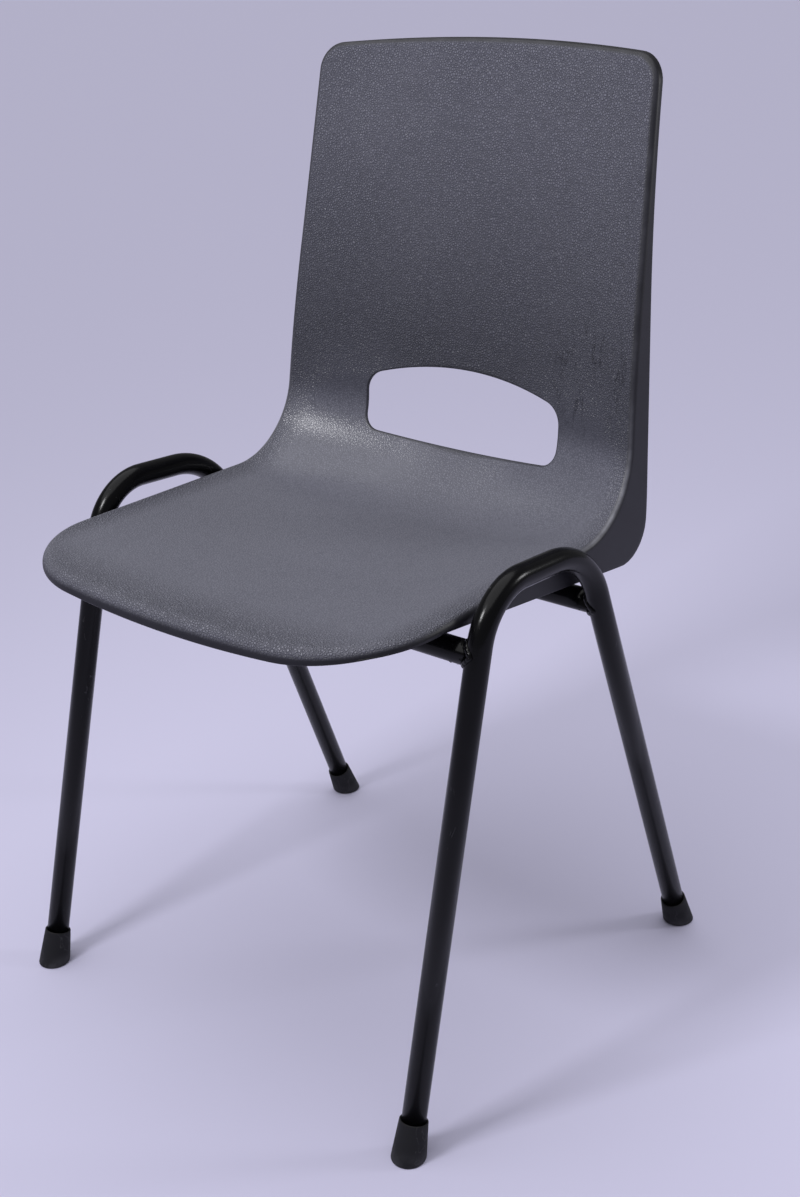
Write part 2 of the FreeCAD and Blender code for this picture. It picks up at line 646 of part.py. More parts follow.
def front_form(name, inset):
    """The shell's outline from the front: upright seat sides, tapered back, bowed crest."""
    body = add_body(f"{name}_front")
    sketch = add_sketch(body, f"{name}_front_outline", "XZ_Plane")
    half = f"({HALF_SEAT} - {inset})"
    ease = f"(Sizes.waist_radius - {inset})"
    corner = f"(Sizes.crest_corner_radius - {inset})"
    crest = f"(Sizes.crest_radius - {inset})"
    crest_z = f"({CREST} - {inset})"
    waist_z = "(Sizes.seat_height + Sizes.waist_rise)"
    bottom_z = "(Sizes.seat_height - 3 * Sizes.rear_cross_drop)"
    taper = value("Sizes.back_taper")
    wide = value(half)
    low = value(bottom_z)
    waist = value(waist_z)
    swing = value(ease) * math.tan(math.radians(taper / 2))
    ease_centre = (wide - value(ease), waist - swing)
    ease_end = polar(ease_centre, value(ease), taper)
    radius = value(corner)
    high = value(crest_z)
    shoulder = high - radius
    narrow = ease_end[0] - (shoulder - ease_end[1]) * math.tan(math.radians(taper))
    centre_x = narrow - radius
    crest_centre = (0, high - value(crest))
    tilt = math.degrees(math.asin(centre_x / (value(crest) - radius)))
    corner_end = polar((centre_x, shoulder), radius, taper)
    outline = [
        line((wide, low), (wide, ease_centre[1])),
        arc(ease_centre, value(ease), 0, taper),
        line(ease_end, corner_end),
        arc((centre_x, shoulder), radius, taper, 90 - tilt),
        arc(crest_centre, value(crest), 90 - tilt, 90 + tilt),
        arc((-centre_x, shoulder), radius, 90 + tilt, 180 - taper),
        line((-corner_end[0], corner_end[1]), (-ease_end[0], ease_end[1])),
        arc((-ease_centre[0], ease_centre[1]), value(ease), 180 - taper, 180),
        line((-wide, ease_centre[1]), (-wide, low)),
        line((-wide, low), (wide, low)),
    ]
    for curve_piece in outline:
        sketch.addGeometry(curve_piece, False)
    smooth(sketch, (0, 2, 1, 1), (1, 2, 2, 1), (2, 2, 3, 1), (3, 2, 4, 1))
    smooth(sketch, (4, 2, 5, 1), (5, 2, 6, 1), (6, 2, 7, 1), (7, 2, 8, 1))
    meet(sketch, (8, 2, 9, 1), (9, 2, 0, 1))
    for index in (0, 8):
        sketch.addConstraint(Sketcher.Constraint("Vertical", index))
    sketch.addConstraint(Sketcher.Constraint("Horizontal", 9))
    dimension(sketch, "left", "DistanceX", (-1, 1, 0, 1), half)
    dimension(sketch, "right", "DistanceX", (-1, 1, 8, 2), f"-{half}")
    dimension(sketch, "bottom", "DistanceY", (-1, 1, 0, 1), bottom_z)
    for place, edge, bend, rise, turn in (("left", 2, 1, 3, 1), ("right", 6, 7, 5, -1)):
        dimension(sketch, f"{place}_ease", "Radius", (bend,), ease)
        dimension(sketch, f"{place}_corner", "Radius", (rise,), corner)
        dimension(sketch, f"{place}_taper", "Angle", (edge,), f"{turn} * (90 + Sizes.back_taper)")
        mark_point(sketch, f"{place}_waist", edge, f"{turn} * {half}", waist_z)
    dimension(sketch, "crest", "Radius", (4,), crest)
    sketch.addConstraint(Sketcher.Constraint("PointOnObject", 4, 3, -2))
    dimension(sketch, "crest_centre", "DistanceY", (-1, 1, 4, 3), f"{crest_z} - {crest}")
    pad_both_ways(body, f"{name}_front_pad", sketch, "4 * Sizes.lip_reach")
    return body


def round_rim(name, block, radius):
    """Round the rim between the face and the trimmed walls, all the way round."""
    def faces_sitter(face):
        middle = face.Surface.parameter(face.CenterOfMass)
        return face.normalAt(*middle).dot(FreeCAD.Vector(0, -1, 1)) > 0.5

    shape = block.Shape
    face_edges = [
        edge
        for face in shape.Faces
        if isinstance(face.Surface, Part.BSplineSurface) and faces_sitter(face)
        for edge in face.Edges
    ]
    wall_edges = [
        edge
        for face in shape.Faces
        if isinstance(face.Surface, (Part.Plane, Part.Cylinder))
        for edge in face.Edges
    ]
    fillet = document.addObject("Part::Fillet", name)
    fillet.Base = block
    fillet.Edges = [
        (number, radius, radius)
        for number, edge in enumerate(shape.Edges, start=1)
        if any(edge.isSame(other) for other in face_edges)
        and any(edge.isSame(other) for other in wall_edges)
    ]
    return fillet


def moulded_form(name, inset, opened):
    """The trimmed form with a rounded rim, moved in from the shell's outside by a formula."""
    forms = [side_form(name, inset, opened), plan_form(name, inset), front_form(name, inset)]
    block = combine("Part::MultiCommon", f"{name}_block", forms)
    document.recompute()
    return round_rim(name, block, value(f"Sizes.rim_round - ({inset})"))


outer = moulded_form("outer", "0", "0")
core = moulded_form("core", "Sizes.shell_wall", "Sizes.trim_margin")
skin = cut("skin", outer, core)


def saddle_blocks(place):
    """Two upright blocks over a cross tube, left and right, with rounded corners."""
    across, up = CROSS_TUBES[place]
    body = add_body(f"{place}_saddle_blocks")
    bottom = f"{up} + {TUBE_RADIUS} - Sizes.saddle_wrap"
    sketch = add_sketch(body, f"{place}_saddle_outlines", "XY_Plane", bottom)
    for side_name, side in SIDES.items():
        middle_x = value(HALF_SADDLES) * side
        middle_y = value(across)
        half_x = value("Sizes.saddle_length") / 2
        half_y = value("Sizes.saddle_width") / 2
        corners = [
            (middle_x - half_x, middle_y - half_y),
            (middle_x + half_x, middle_y - half_y),
            (middle_x + half_x, middle_y + half_y),
            (middle_x - half_x, middle_y + half_y),
        ]
        first = sketch.GeometryCount
        for start, end in zip(corners, corners[1:] + corners[:1]):
            sketch.addGeometry(line(start, end), False)
        meet(sketch, *[(first + index, 2, first + (index + 1) % 4, 1) for index in range(4)])
        for index in (0, 2):
            sketch.addConstraint(Sketcher.Constraint("Horizontal", first + index))
            sketch.addConstraint(Sketcher.Constraint("Vertical", first + index + 1))
        middle = f"{side} * {HALF_SADDLES}"
        along = "Sizes.saddle_length / 2"
        beside = "Sizes.saddle_width / 2"
        locate(sketch, f"{side_name}_near", first, 1, f"{middle} - {along}", f"{across} - {beside}")
        locate(sketch, f"{side_name}_far", first + 1, 2, f"{middle} + {along}", f"{across} + {beside}")
    blocks = body.newObject("PartDesign::Pad", f"{place}_saddle_pad")
    blocks.Profile = sketch
    blocks.setExpression("Length", f"Sizes.{place}_cross_drop")
    document.recompute()
    uprights = [
        f"Edge{number}"
        for number, edge in enumerate(blocks.Shape.Edges, start=1)
        if isinstance(edge.Curve, Part.Line) and abs(edge.tangentAt(edge.FirstParameter).z) > 0.5
    ]
    corners = body.newObject("PartDesign::Fillet", f"{place}_saddle_corners")
    corners.Base = (blocks, uprights)
    corners.setExpression("Radius", "Sizes.saddle_corner_radius")
    return body


def tube_room(place):
    """The room that a cross tube takes up in its saddles."""
    across, up = CROSS_TUBES[place]
    room = document.addObject("Part::Cylinder", f"{place}_tube_room")
    room.setExpression("Radius", f"{TUBE_RADIUS} + Sizes.saddle_clearance")
    room.setExpression("Height", "Sizes.seat_width")
    room.setExpression(
        "Placement", f"placement(vector(-{HALF_SEAT}; {across}; {up}); rotation(0; 90; 0))"
    )
    return room


def pilot(place, side_name):
    """The hole that one screw's thread takes up in its saddle."""
    across, up = CROSS_TUBES[place]
    hole = document.addObject("Part::Cylinder", f"{place}_{side_name}_pilot")
    hole.setExpression("Radius", f"({PILOT_HOLE}) / 2")
    hole.setExpression(
        "Height", f"{TUBE_RADIUS} + Sizes.screw_bite + Sizes.pilot_clearance"
    )
    side = SIDES[side_name]
    hole.setExpression(
        "Placement", f"placement(vector({side} * {HALF_SADDLES}; {across}; {up}); rotation(0; 0; 0))"
    )
    return hole


all_blocks = combine("Part::MultiFuse", "saddle_blocks", [saddle_blocks(p) for p in CROSS_TUBES])
saddles = combine("Part::MultiCommon", "saddles", [core, all_blocks])
joined = combine("Part::MultiFuse", "joined", [skin, saddles])


def hand_hole():
    """A prism through the back: straight sides, arched top, lightly curved sill."""
    body = add_body("hand_hole")
    sketch = add_sketch(body, "hand_hole_outline", "XZ_Plane")
    half = "(Sizes.hole_width / 2)"
    sill_z = "(Sizes.seat_height + Sizes.hole_rise)"
    arch_z = f"({sill_z} + Sizes.hole_height)"
    wide = value(half)
    low = value(sill_z)
    high = value(arch_z)
    arch = value("Sizes.hole_arch_radius")
    sill = value("Sizes.hole_sill_radius")
    top_corner = value("Sizes.hole_top_corner")
    low_corner = value("Sizes.hole_sill_corner")
    top_tilt = math.degrees(math.asin((wide - top_corner) / (arch - top_corner)))
    low_tilt = math.degrees(math.asin((wide - low_corner) / (sill + low_corner)))
    arch_centre = (0, high - arch)
    sill_centre = (0, low + sill)
    top_centre = polar(arch_centre, arch - top_corner, 90 - top_tilt)
    low_centre = polar(sill_centre, sill - low_corner, -90 + low_tilt)
    outline = [
        line((wide, low_centre[1]), (wide, top_centre[1])),
        arc(top_centre, top_corner, 0, 90 - top_tilt),
        arc(arch_centre, arch, 90 - top_tilt, 90 + top_tilt),
        arc((-top_centre[0], top_centre[1]), top_corner, 90 + top_tilt, 180),
        line((-wide, top_centre[1]), (-wide, low_centre[1])),
        arc((-low_centre[0], low_centre[1]), low_corner, 180, 270 - low_tilt),
        arc(sill_centre, sill, -90 - low_tilt, -90 + low_tilt),
        arc(low_centre, low_corner, -90 + low_tilt, 0),
    ]
    for curve_piece in outline:
        sketch.addGeometry(curve_piece, False)
    smooth(sketch, (0, 2, 1, 1), (1, 2, 2, 1), (2, 2, 3, 1), (3, 2, 4, 1))
    smooth(sketch, (4, 2, 5, 1), (5, 2, 6, 1), (6, 2, 7, 1), (7, 2, 0, 1))
    for index in (0, 4):
        sketch.addConstraint(Sketcher.Constraint("Vertical", index))
    dimension(sketch, "left", "DistanceX", (-1, 1, 0, 1), half)
    dimension(sketch, "right", "DistanceX", (-1, 1, 4, 1), f"-{half}")
    for index in (1, 3):
        dimension(sketch, f"top_corner_{index}", "Radius", (index,), "Sizes.hole_top_corner")
    for index in (5, 7):
        dimension(sketch, f"low_corner_{index}", "Radius", (index,), "Sizes.hole_sill_corner")
    dimension(sketch, "arch", "Radius", (2,), "Sizes.hole_arch_radius")
    dimension(sketch, "sill", "Radius", (6,), "Sizes.hole_sill_radius")
    for index in (2, 6):
        sketch.addConstraint(Sketcher.Constraint("PointOnObject", index, 3, -2))
    dimension(sketch, "arch_top", "DistanceY", (-1, 1, 2, 3), f"{arch_z} - Sizes.hole_arch_radius")
    dimension(sketch, "sill_low", "DistanceY", (-1, 1, 6, 3), f"{sill_z} + Sizes.hole_sill_radius")
    pad_both_ways(body, "hand_hole_pad", sketch, "4 * Sizes.lip_reach")
    return body


rooms = [tube_room(place) for place in CROSS_TUBES]
pilots = [pilot(place, side_name) for place in CROSS_TUBES for side_name in SIDES]
cutters = combine("Part::MultiFuse", "cutters", [hand_hole(), *rooms, *pilots])
seat_shell = cut("seat_shell", joined, cutters)
document.recompute()


# Seat screws, driven up through the cross tubes into the saddles

screw = add_body("screw")
profile = add_sketch(screw, "screw_profile", "XZ_Plane")
head = value("Sizes.head_diameter") / 2
depth = value("Sizes.head_height")
bevel = value("Sizes.head_bevel")
shank = value("Sizes.screw_diameter") / 2
tip = value("Sizes.tube_diameter + Sizes.screw_bite")
screw_corners = [
    (0, -depth),
    (head - bevel, -depth),
    (head, bevel - depth),
    (head, 0),
    (shank, 0),
    (shank, tip),
    (0, tip),
]
for start, end in zip(screw_corners, screw_corners[1:] + screw_corners[:1]):
    profile.addGeometry(line(start, end), False)
meet(profile, *[(index, 2, (index + 1) % 7, 1) for index in range(7)])
for index in (0, 3, 5):
    profile.addConstraint(Sketcher.Constraint("Horizontal", index))
for index in (2, 4, 6):
    profile.addConstraint(Sketcher.Constraint("Vertical", index))
profile.addConstraint(Sketcher.Constraint("PointOnObject", 0, 1, -2))
profile.addConstraint(Sketcher.Constraint("PointOnObject", 2, 2, -1))
dimension(profile, "head_radius", "DistanceX", (-1, 1, 2, 1), "Sizes.head_diameter / 2")
dimension(profile, "bevel_width", "DistanceX", (0, 2, 1, 2), "Sizes.head_bevel")
dimension(profile, "bevel_height", "DistanceY", (1, 1, 1, 2), "Sizes.head_bevel")
dimension(profile, "head_depth", "DistanceY", (1, 1, 2, 2), "Sizes.head_height")
dimension(profile, "shank_radius", "DistanceX", (-1, 1, 4, 1), "Sizes.screw_diameter / 2")
dimension(profile, "tip", "DistanceY", (-1, 1, 5, 1), "Sizes.tube_diameter + Sizes.screw_bite")
turned = screw.newObject("PartDesign::Revolution", "screw_turned")
turned.Profile = profile
turned.ReferenceAxis = (profile, ["V_Axis"])
turned.Angle = 360
document.recompute()

screws = []
for place, (across, up) in CROSS_TUBES.items():
    for side_name, side in SIDES.items():
        copy = document.addObject("App::Link", f"{place}_{side_name}_screw")
        copy.LinkedObject = screw
        copy.setExpression(
            "Placement",
            f"placement(vector({side} * {HALF_SADDLES}; {across}; {up} - {TUBE_RADIUS});"
            " rotation(0; 0; 0))",
        )
        screws.append(copy)
seat_screws = document.addObject("Part::Compound", "seat_screws")
seat_screws.Links = screws
document.recompute()


# Check every object, then write one file for each piece

PIECES = [
    seat_shell,
    side_frames["left"],
    side_frames["right"],
    cross_tubes["front"],
    cross_tubes["rear"],
    weld_beads,
    seat_screws,
    *foot_caps,
]
for item in document.Objects:
    if "Invalid" in item.State or "Error" in item.State:
        raise RuntimeError(f"{item.Name} did not build: {item.State}")
for piece in PIECES:
    piece.Label = piece.Name
    if piece.Shape.isNull() or not piece.Shape.isValid():
        raise RuntimeError(f"{piece.Label} has no valid shape")

os.makedirs("parts", exist_ok=True)
for piece in PIECES:
    piece.Shape.exportStep(f"parts/{piece.Label}.step")
    print(piece.Label, len(piece.Shape.Solids), round(piece.Shape.Volume / 1000, 2), "cm3")
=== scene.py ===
# %% [markdown]
# # A choir chair: moulded shell on a bent tube frame
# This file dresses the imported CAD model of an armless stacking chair. The shell is one
# moulding with a pebbled face, a rolled rim and a hand hole. It sits on two bent side hoops
# that are joined by two cross tubes, and each leg ends in a rubber cap. Every visible piece
# is worked out here as a smooth surface, because the CAD mesh is made of flat triangles.

# %% Load the frame
import math

import bpy
import numpy as np
from mathutils import Matrix, Vector


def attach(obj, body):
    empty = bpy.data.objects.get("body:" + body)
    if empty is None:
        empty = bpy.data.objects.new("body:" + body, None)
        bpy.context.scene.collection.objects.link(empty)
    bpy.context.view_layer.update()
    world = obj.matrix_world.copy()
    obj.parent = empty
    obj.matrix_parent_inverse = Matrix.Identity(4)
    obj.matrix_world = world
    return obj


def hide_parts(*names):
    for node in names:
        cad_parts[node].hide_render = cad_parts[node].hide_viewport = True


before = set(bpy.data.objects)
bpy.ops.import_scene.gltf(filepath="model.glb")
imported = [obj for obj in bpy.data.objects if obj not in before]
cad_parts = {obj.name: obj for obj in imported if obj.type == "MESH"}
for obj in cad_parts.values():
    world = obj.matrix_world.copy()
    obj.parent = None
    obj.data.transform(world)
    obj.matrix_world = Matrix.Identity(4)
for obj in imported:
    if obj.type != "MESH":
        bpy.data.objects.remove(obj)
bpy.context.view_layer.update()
print("nodes:", ", ".join(sorted(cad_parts)))

# %% [markdown]
# ## Camera
# The photograph looks down at the chair from its front left. The place and angles of the
# camera were solved from the hoops, the cross tubes and the foot caps, so they are given as
# a place in millimetres and three turns. A lens of about 48 mm gives the same perspective.

# %% Camera
MM = 0.001
CAMERA_PLACE = (925.3, -1075.6, 970.0)
CAMERA_YAW = 0.6823
CAMERA_PITCH = 0.3860
CAMERA_ROLL = -0.0114
CAMERA_LENS = 47.62


def aim_camera():
    """Turn a camera that looks straight down: roll on its axis, tip up to the pitch, then yaw."""
    turn = (
        Matrix.Rotation(CAMERA_YAW, 4, "Z")
        @ Matrix.Rotation(math.pi / 2 - CAMERA_PITCH, 4, "X")
        @ Matrix.Rotation(CAMERA_ROLL, 4, "Z")
    )
    return Matrix.Translation(Vector(CAMERA_PLACE) * MM) @ turn


camera_data = bpy.data.cameras.new("camera")
camera_data.lens = CAMERA_LENS
camera = bpy.data.objects.new("camera", camera_data)
camera.matrix_world = aim_camera()
bpy.context.scene.collection.objects.link(camera)
bpy.context.scene.camera = camera
print("camera lens:", CAMERA_LENS, "mm")

# %% [markdown]
# ## Floor and light
# The chair stands on a plain pale floor that fills the picture. The main softbox stands in
# front and points at the top of the back, a small one at the rear right draws a streak on the
# hoop, a wide ceiling lamp lights from above, and an even pale world stands for the room's
# bounced light. Together they light a level white surface beside the chair to about 0.8.

# %% Floor and light
FLOOR_COLOUR = (0.680, 0.660, 0.860, 1.0)
FLOOR_SIZE, FLOOR_ROUGHNESS, FLOOR_SPECULAR = 400.0, 0.75, 0.2
WORLD_COLOUR = (0.95, 0.95, 1.0, 1.0)
WORLD_LEVEL = 0.18
LAMP_COLOUR = (0.98, 0.98, 1.0)
LAMPS = {
    "front_softbox": {"kind": "AREA", "place": (-0.24, -1.15, 1.57), "aim": (0.05, 0.20, 0.95),
                      "size": 0.34, "spread": math.radians(110.0), "energy": 6.8},
    "rear_softbox": {"kind": "AREA", "place": (1.05, 0.80, 1.03), "aim": (0.0, 0.0, 0.45),
                     "size": 0.25, "spread": math.radians(120.0), "energy": 1.3},
    "ceiling": {"kind": "SUN", "place": (-0.15, -0.10, 0.95), "aim": (0.0, 0.0, 0.0),
                "angle": math.radians(75.0), "energy": 1.65},
}


def make_floor():
    """A square sheet at height zero, centred under the chair."""
    half = FLOOR_SIZE / 2
    mesh = bpy.data.meshes.new("floor")
    corners = [(-half, -half, 0), (half, -half, 0), (half, half, 0), (-half, half, 0)]
    mesh.from_pydata(corners, [], [(0, 1, 2, 3)])
    floor = bpy.data.objects.new("floor", mesh)
    bpy.context.scene.collection.objects.link(floor)
    paint = bpy.data.materials.new("floor")
    paint.use_nodes = True
    inputs = paint.node_tree.nodes["Principled BSDF"].inputs
    inputs["Base Color"].default_value = FLOOR_COLOUR
    inputs["Roughness"].default_value = FLOOR_ROUGHNESS
    inputs["Specular IOR Level"].default_value = FLOOR_SPECULAR
    mesh.materials.append(paint)
    return floor


def make_lamp(name, kind, place, aim, **settings):
    """A lamp at a place, with its light going towards another place."""
    lamp = bpy.data.lights.new(name, kind)
    lamp.color = LAMP_COLOUR
    for setting, value in settings.items():
        setattr(lamp, setting, value)
    holder = bpy.data.objects.new(name, lamp)
    turn = (Vector(place) - Vector(aim)).to_track_quat("Z", "Y").to_matrix().to_4x4()
    holder.matrix_world = Matrix.Translation(Vector(place)) @ turn
    bpy.context.scene.collection.objects.link(holder)


make_floor()
for name, lamp in LAMPS.items():
    make_lamp(name, **lamp)
world = bpy.data.worlds.new("room")
world.use_nodes = True
background = world.node_tree.nodes["Background"].inputs
background["Color"].default_value = WORLD_COLOUR
background["Strength"].default_value = WORLD_LEVEL
bpy.context.scene.world = world
bpy.context.scene.view_settings.view_transform = "Standard"
print("lamps:", list(LAMPS))

# %% [markdown]
# ## From arrays to meshes
# Each piece is a grid of points, worked out as a whole array in millimetres. Neighbouring
# rows and columns are joined into quads, an open end is closed with a fan to one pole, and
# the signed volume tells whether the faces look out, so that no piece is inside out.

# %% Mesh helpers
def quads(rows, columns, closed=False):
    """Faces between neighbouring rows; columns always wrap, rows wrap when closed is true."""
    row = np.arange(rows if closed else rows - 1)[:, None]
    column = np.arange(columns)[None, :]
    after = (column + 1) % columns
    below = (row + 1) % rows
    corners = [row * columns + column, row * columns + after,
               below * columns + after, below * columns + column]
    return np.stack(np.broadcast_arrays(*corners), axis=-1).reshape(-1, 4)


def tube_of_rings(rings):
    """Points (rows, columns, 3) to a closed skin whose first and last rings end in poles."""
    rows, columns = rings.shape[:2]
    poles = np.stack([rings[0].mean(axis=0), rings[-1].mean(axis=0)])
    points = np.concatenate([rings.reshape(-1, 3), poles])
    ring = np.arange(columns)
    after = (ring + 1) % columns
    first = np.stack([after, ring, np.full(columns, rows * columns)], axis=1)
    last_row = (rows - 1) * columns
    last = np.stack([last_row + ring, last_row + after, np.full(columns, len(points) - 1)], axis=1)
    return points, [quads(rows, columns), np.concatenate([first, last])]


def loop_of_rings(rings):
    """Points (rows, columns, 3) to a closed skin that wraps both ways, like a ring doughnut."""
    rows, columns = rings.shape[:2]
    return rings.reshape(-1, 3), [quads(rows, columns, closed=True)]


def face_out(points, faces):
    """Sum the signed volumes of cones from the origin; when negative, turn every face round."""
    volume = 0.0
    for block in faces:
        for corner in range(2, block.shape[1]):
            a, b, c = (points[block[:, index]] for index in (0, corner - 1, corner))
            volume += np.einsum("ij,ij->", a, np.cross(b, c)) / 6
    return faces if volume > 0 else [block[:, ::-1] for block in faces]


def gather(skins):
    """Put several closed skins into one set of points and faces."""
    points, faces, count = [], [], 0
    for part_points, part_faces in skins:
        part_faces = face_out(part_points, part_faces)
        points.append(part_points)
        faces += [block + count for block in part_faces]
        count += len(part_points)
    return np.concatenate(points), faces


print("faces of a band with 2 rows and 3 columns:", quads(2, 3).tolist())


# %% From skins to a piece
def make_piece(name, skins, node, masks=None):
    """Turn skins in millimetres into one smooth object that stands for CAD nodes."""
    points, faces = gather(skins)
    mesh = bpy.data.meshes.new(name)
    mesh.from_pydata((points * MM).tolist(), [], [f for block in faces for f in block.tolist()])
    mesh.shade_smooth()
    mesh.update()
    for mask, amounts in (masks or {}).items():
        layer = mesh.attributes.new(mask, "FLOAT", "POINT")
        layer.data.foreach_set("value", np.asarray(amounts, dtype=np.float32).ravel())
    piece = bpy.data.objects.new(name, mesh)
    bpy.context.scene.collection.objects.link(piece)
    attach(piece, "root")
    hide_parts(*([node] if isinstance(node, str) else node))
    print(name, "points:", len(points))
    return piece


# %% [markdown]
# ## Directions, circles and steps
# A few small tools come back in every piece: a direction of length one, the turn between two
# directions, points on a circle, a place part of the way between two others, and a smooth step
# that starts and ends level.

# %% Directions, circles and steps
def unit(vectors):
    """Vectors of length one."""
    return vectors / np.linalg.norm(vectors, axis=-1, keepdims=True)


def turn_between(start, end, share):
    """The direction at a share of the turn from one unit direction to another."""
    angle = np.arccos(np.clip((start * end).sum(axis=-1, keepdims=True), -1, 1))
    return (np.sin((1 - share) * angle) * start + np.sin(share * angle) * end) / np.sin(angle)


def turns(count):
    """Angles once round a circle."""
    return np.linspace(0, 2 * math.pi, count, endpoint=False)


def on_circle(centre, radius, angle):
    """Points on a circle of a flat drawing, at angles in radians."""
    return np.asarray(centre) + radius * np.stack([np.cos(angle), np.sin(angle)], axis=-1)


def between(start, end, share):
    """Points at shares of the way from one point, or one ring of points, to another."""
    share = np.asarray(share)[..., None]
    return np.asarray(start) * (1 - share) + np.asarray(end) * share


def ease(share):
    """A smooth step from 0 to 1."""
    share = np.clip(share, 0, 1)
    return share * share * (3 - 2 * share)


def eased_from(value, none, full):
    """A smooth step that is 0 at one value and 1 at another, whichever of them is higher."""
    return ease((value - none) / (full - none))


print("a circle in four steps:", on_circle((0, 0), 1, turns(4)).round(3).tolist())

# %% [markdown]
# ## The shell's face
# A moulded seat is a sheet of plastic pressed between two tool halves. Its face is a side
# profile that changes across the chair: seat line, bend, lumbar curve and straight upper back.
# The profile at the edge and the one at the middle are known, and a point between them lies
# at middle + (edge - middle) * (x / half width) squared, which gives the dish.

# %% Side profiles
HALF_SEAT = 217.0
SEAT_HEIGHT = 473.0
LIP_REACH = 257.5
CREST = 897.0
MARGIN = 25.0
WALL = 3.5
EDGE = {"lip": 473.0, "foot": 476.5, "back": 137.0, "bend": 80.0, "low": 3.4,
        "lumbar": 1630.0, "high": 8.6, "drop": 0.0, "offset": 0.0}
MIDDLE = {"lip": 464.5, "foot": 453.0, "back": 169.5, "bend": 90.0, "low": 1.7,
          "lumbar": 1800.0, "high": 6.8, "drop": 12.5, "offset": 24.0}
RUNS = (350.0, 130.0, 148.0, 218.0)
MARKS = np.concatenate([[0.0], np.cumsum(RUNS)])
BEND_START, BEND_END, LUMBAR_END = MARKS[1], MARKS[2], MARKS[3]


def side_profile(form, along):
    """Seat line, bend, lumbar curve and upper back, end to end, at a distance along them."""
    low, high = math.radians(form["low"]), math.radians(form["high"])
    centre = (form["back"] - form["bend"], form["foot"] + form["bend"])
    ahead, below = centre[0] + LIP_REACH, centre[1] - form["lip"]
    tilt = math.atan2(below, ahead) - math.asin(form["bend"] / math.hypot(ahead, below))
    front = (-LIP_REACH - MARGIN, form["lip"] - MARGIN * math.tan(tilt))
    foot = on_circle(centre, form["bend"], tilt - math.pi / 2)
    hip = on_circle(centre, form["bend"] + form["lumbar"], -low)
    shoulder = on_circle(hip, form["lumbar"], math.pi - high)
    rise = CREST + MARGIN - shoulder[1]
    top = (shoulder[0] + rise * math.tan(high), CREST + MARGIN)
    share = [np.clip((along - MARKS[i]) / RUNS[i], 0, 1) for i in range(4)]
    seat = between(front, foot, share[0])
    bend = on_circle(centre, form["bend"],
                     tilt - math.pi / 2 + share[1] * (math.pi / 2 - tilt - low))
    lumbar = on_circle(hip, form["lumbar"], math.pi - low - share[2] * (high - low))
    back = between(shoulder, top, share[3])
    stretch = np.searchsorted(MARKS[1:4], along, side="right")[..., None]
    return np.select([stretch == 0, stretch == 1, stretch == 2], [seat, bend, lumbar], back)


def face(x, along):
    """The face at a place across and a distance along: the two profiles mixed by x squared."""
    x, along = np.broadcast_arrays(np.asarray(x, float), np.asarray(along, float))
    share = (x / HALF_SEAT)[..., None] ** 2
    middle = side_profile(MIDDLE, along)
    flat = middle + (side_profile(EDGE, along) - middle) * share
    return np.concatenate([x[..., None], flat], axis=-1)


def face_normal(x, along, step=0.05):
    """The face's outward direction: the slope across times the slope along."""
    across = face(x + step, along) - face(x - step, along)
    forward = face(x, along + step) - face(x, along - step)
    return unit(np.cross(across, forward))


print("face at the middle of the bend:", face(0.0, (BEND_START + BEND_END) / 2).round(1))

# %% Finding a place on the face
TABLE = np.linspace(0, MARKS[-1], 1700)


def along_from(x, target, axis):
    """The distance along at which the face at x reaches a given y (axis 1) or height (axis 2)."""
    table = face(x[:, None], TABLE[None, :])[..., axis]
    after = np.clip((table < target[:, None]).sum(axis=1), 1, len(TABLE) - 1)
    row = np.arange(len(x))
    low, high = table[row, after - 1], table[row, after]
    share = (target - low) / np.maximum(high - low, 1e-9)
    return TABLE[after - 1] + share * (TABLE[after] - TABLE[after - 1])


def nearest_along(points):
    """The distance along of the face's point that lies nearest, in each point's own side view."""
    table = face(points[:, None, 0], TABLE[None, :])[..., 1:]
    return TABLE[((table - points[:, None, 1:]) ** 2).sum(axis=-1).argmin(axis=1)]


print("distances looked up:", len(TABLE))

# %% [markdown]
# ## The rim's line
# Seen from above, the seat has straight sides, round front corners and a gently bowed lip.
# Seen from the front, the back tapers and ends in a bowed crest with tight corners. The rim
# follows the first outline round the seat and the second up the back. One half is worked out
# from the middle of the lip to the middle of the crest and mirrored.

# %% Outlines
LIP_BOW = 2200.0
LIP_CORNER = 100.0
WAIST = 485.0
WAIST_RADIUS = 900.0
TAPER = math.radians(3.15)
CREST_CORNER = 28.0
CREST_RADIUS = 2100.0

corner_x = HALF_SEAT - LIP_CORNER
corner_y = LIP_BOW - LIP_REACH - math.sqrt((LIP_BOW - LIP_CORNER) ** 2 - corner_x ** 2)
bow_turn = math.asin(corner_x / (LIP_BOW - LIP_CORNER))
waist_swing = WAIST_RADIUS * math.tan(TAPER / 2)


def crest_corner_centre():
    """Where a circle touches the tapered side and the crest: a root of a square equation."""
    side = np.array([-math.sin(TAPER), math.cos(TAPER)])
    across = np.array([math.cos(TAPER), math.sin(TAPER)])
    start = np.array([HALF_SEAT, WAIST]) - CREST_CORNER * across
    start[1] -= CREST - CREST_RADIUS
    reach = CREST_RADIUS - CREST_CORNER
    half = start @ side
    run = -half + math.sqrt(half ** 2 - start @ start + reach ** 2)
    centre = start + run * side
    return centre[0], centre[1] + CREST - CREST_RADIUS


CREST_X, CREST_Z = crest_corner_centre()
crest_turn = math.atan2(CREST_X, CREST_Z - CREST + CREST_RADIUS)
print("crest corner at", round(CREST_X, 1), round(CREST_Z, 1))


# %% Width and arcs
def side_turn(height):
    """How far the side wall's outward direction has turned up at a height, in radians."""
    return np.arcsin(np.clip((height - WAIST + waist_swing) / WAIST_RADIUS, 0, math.sin(TAPER)))


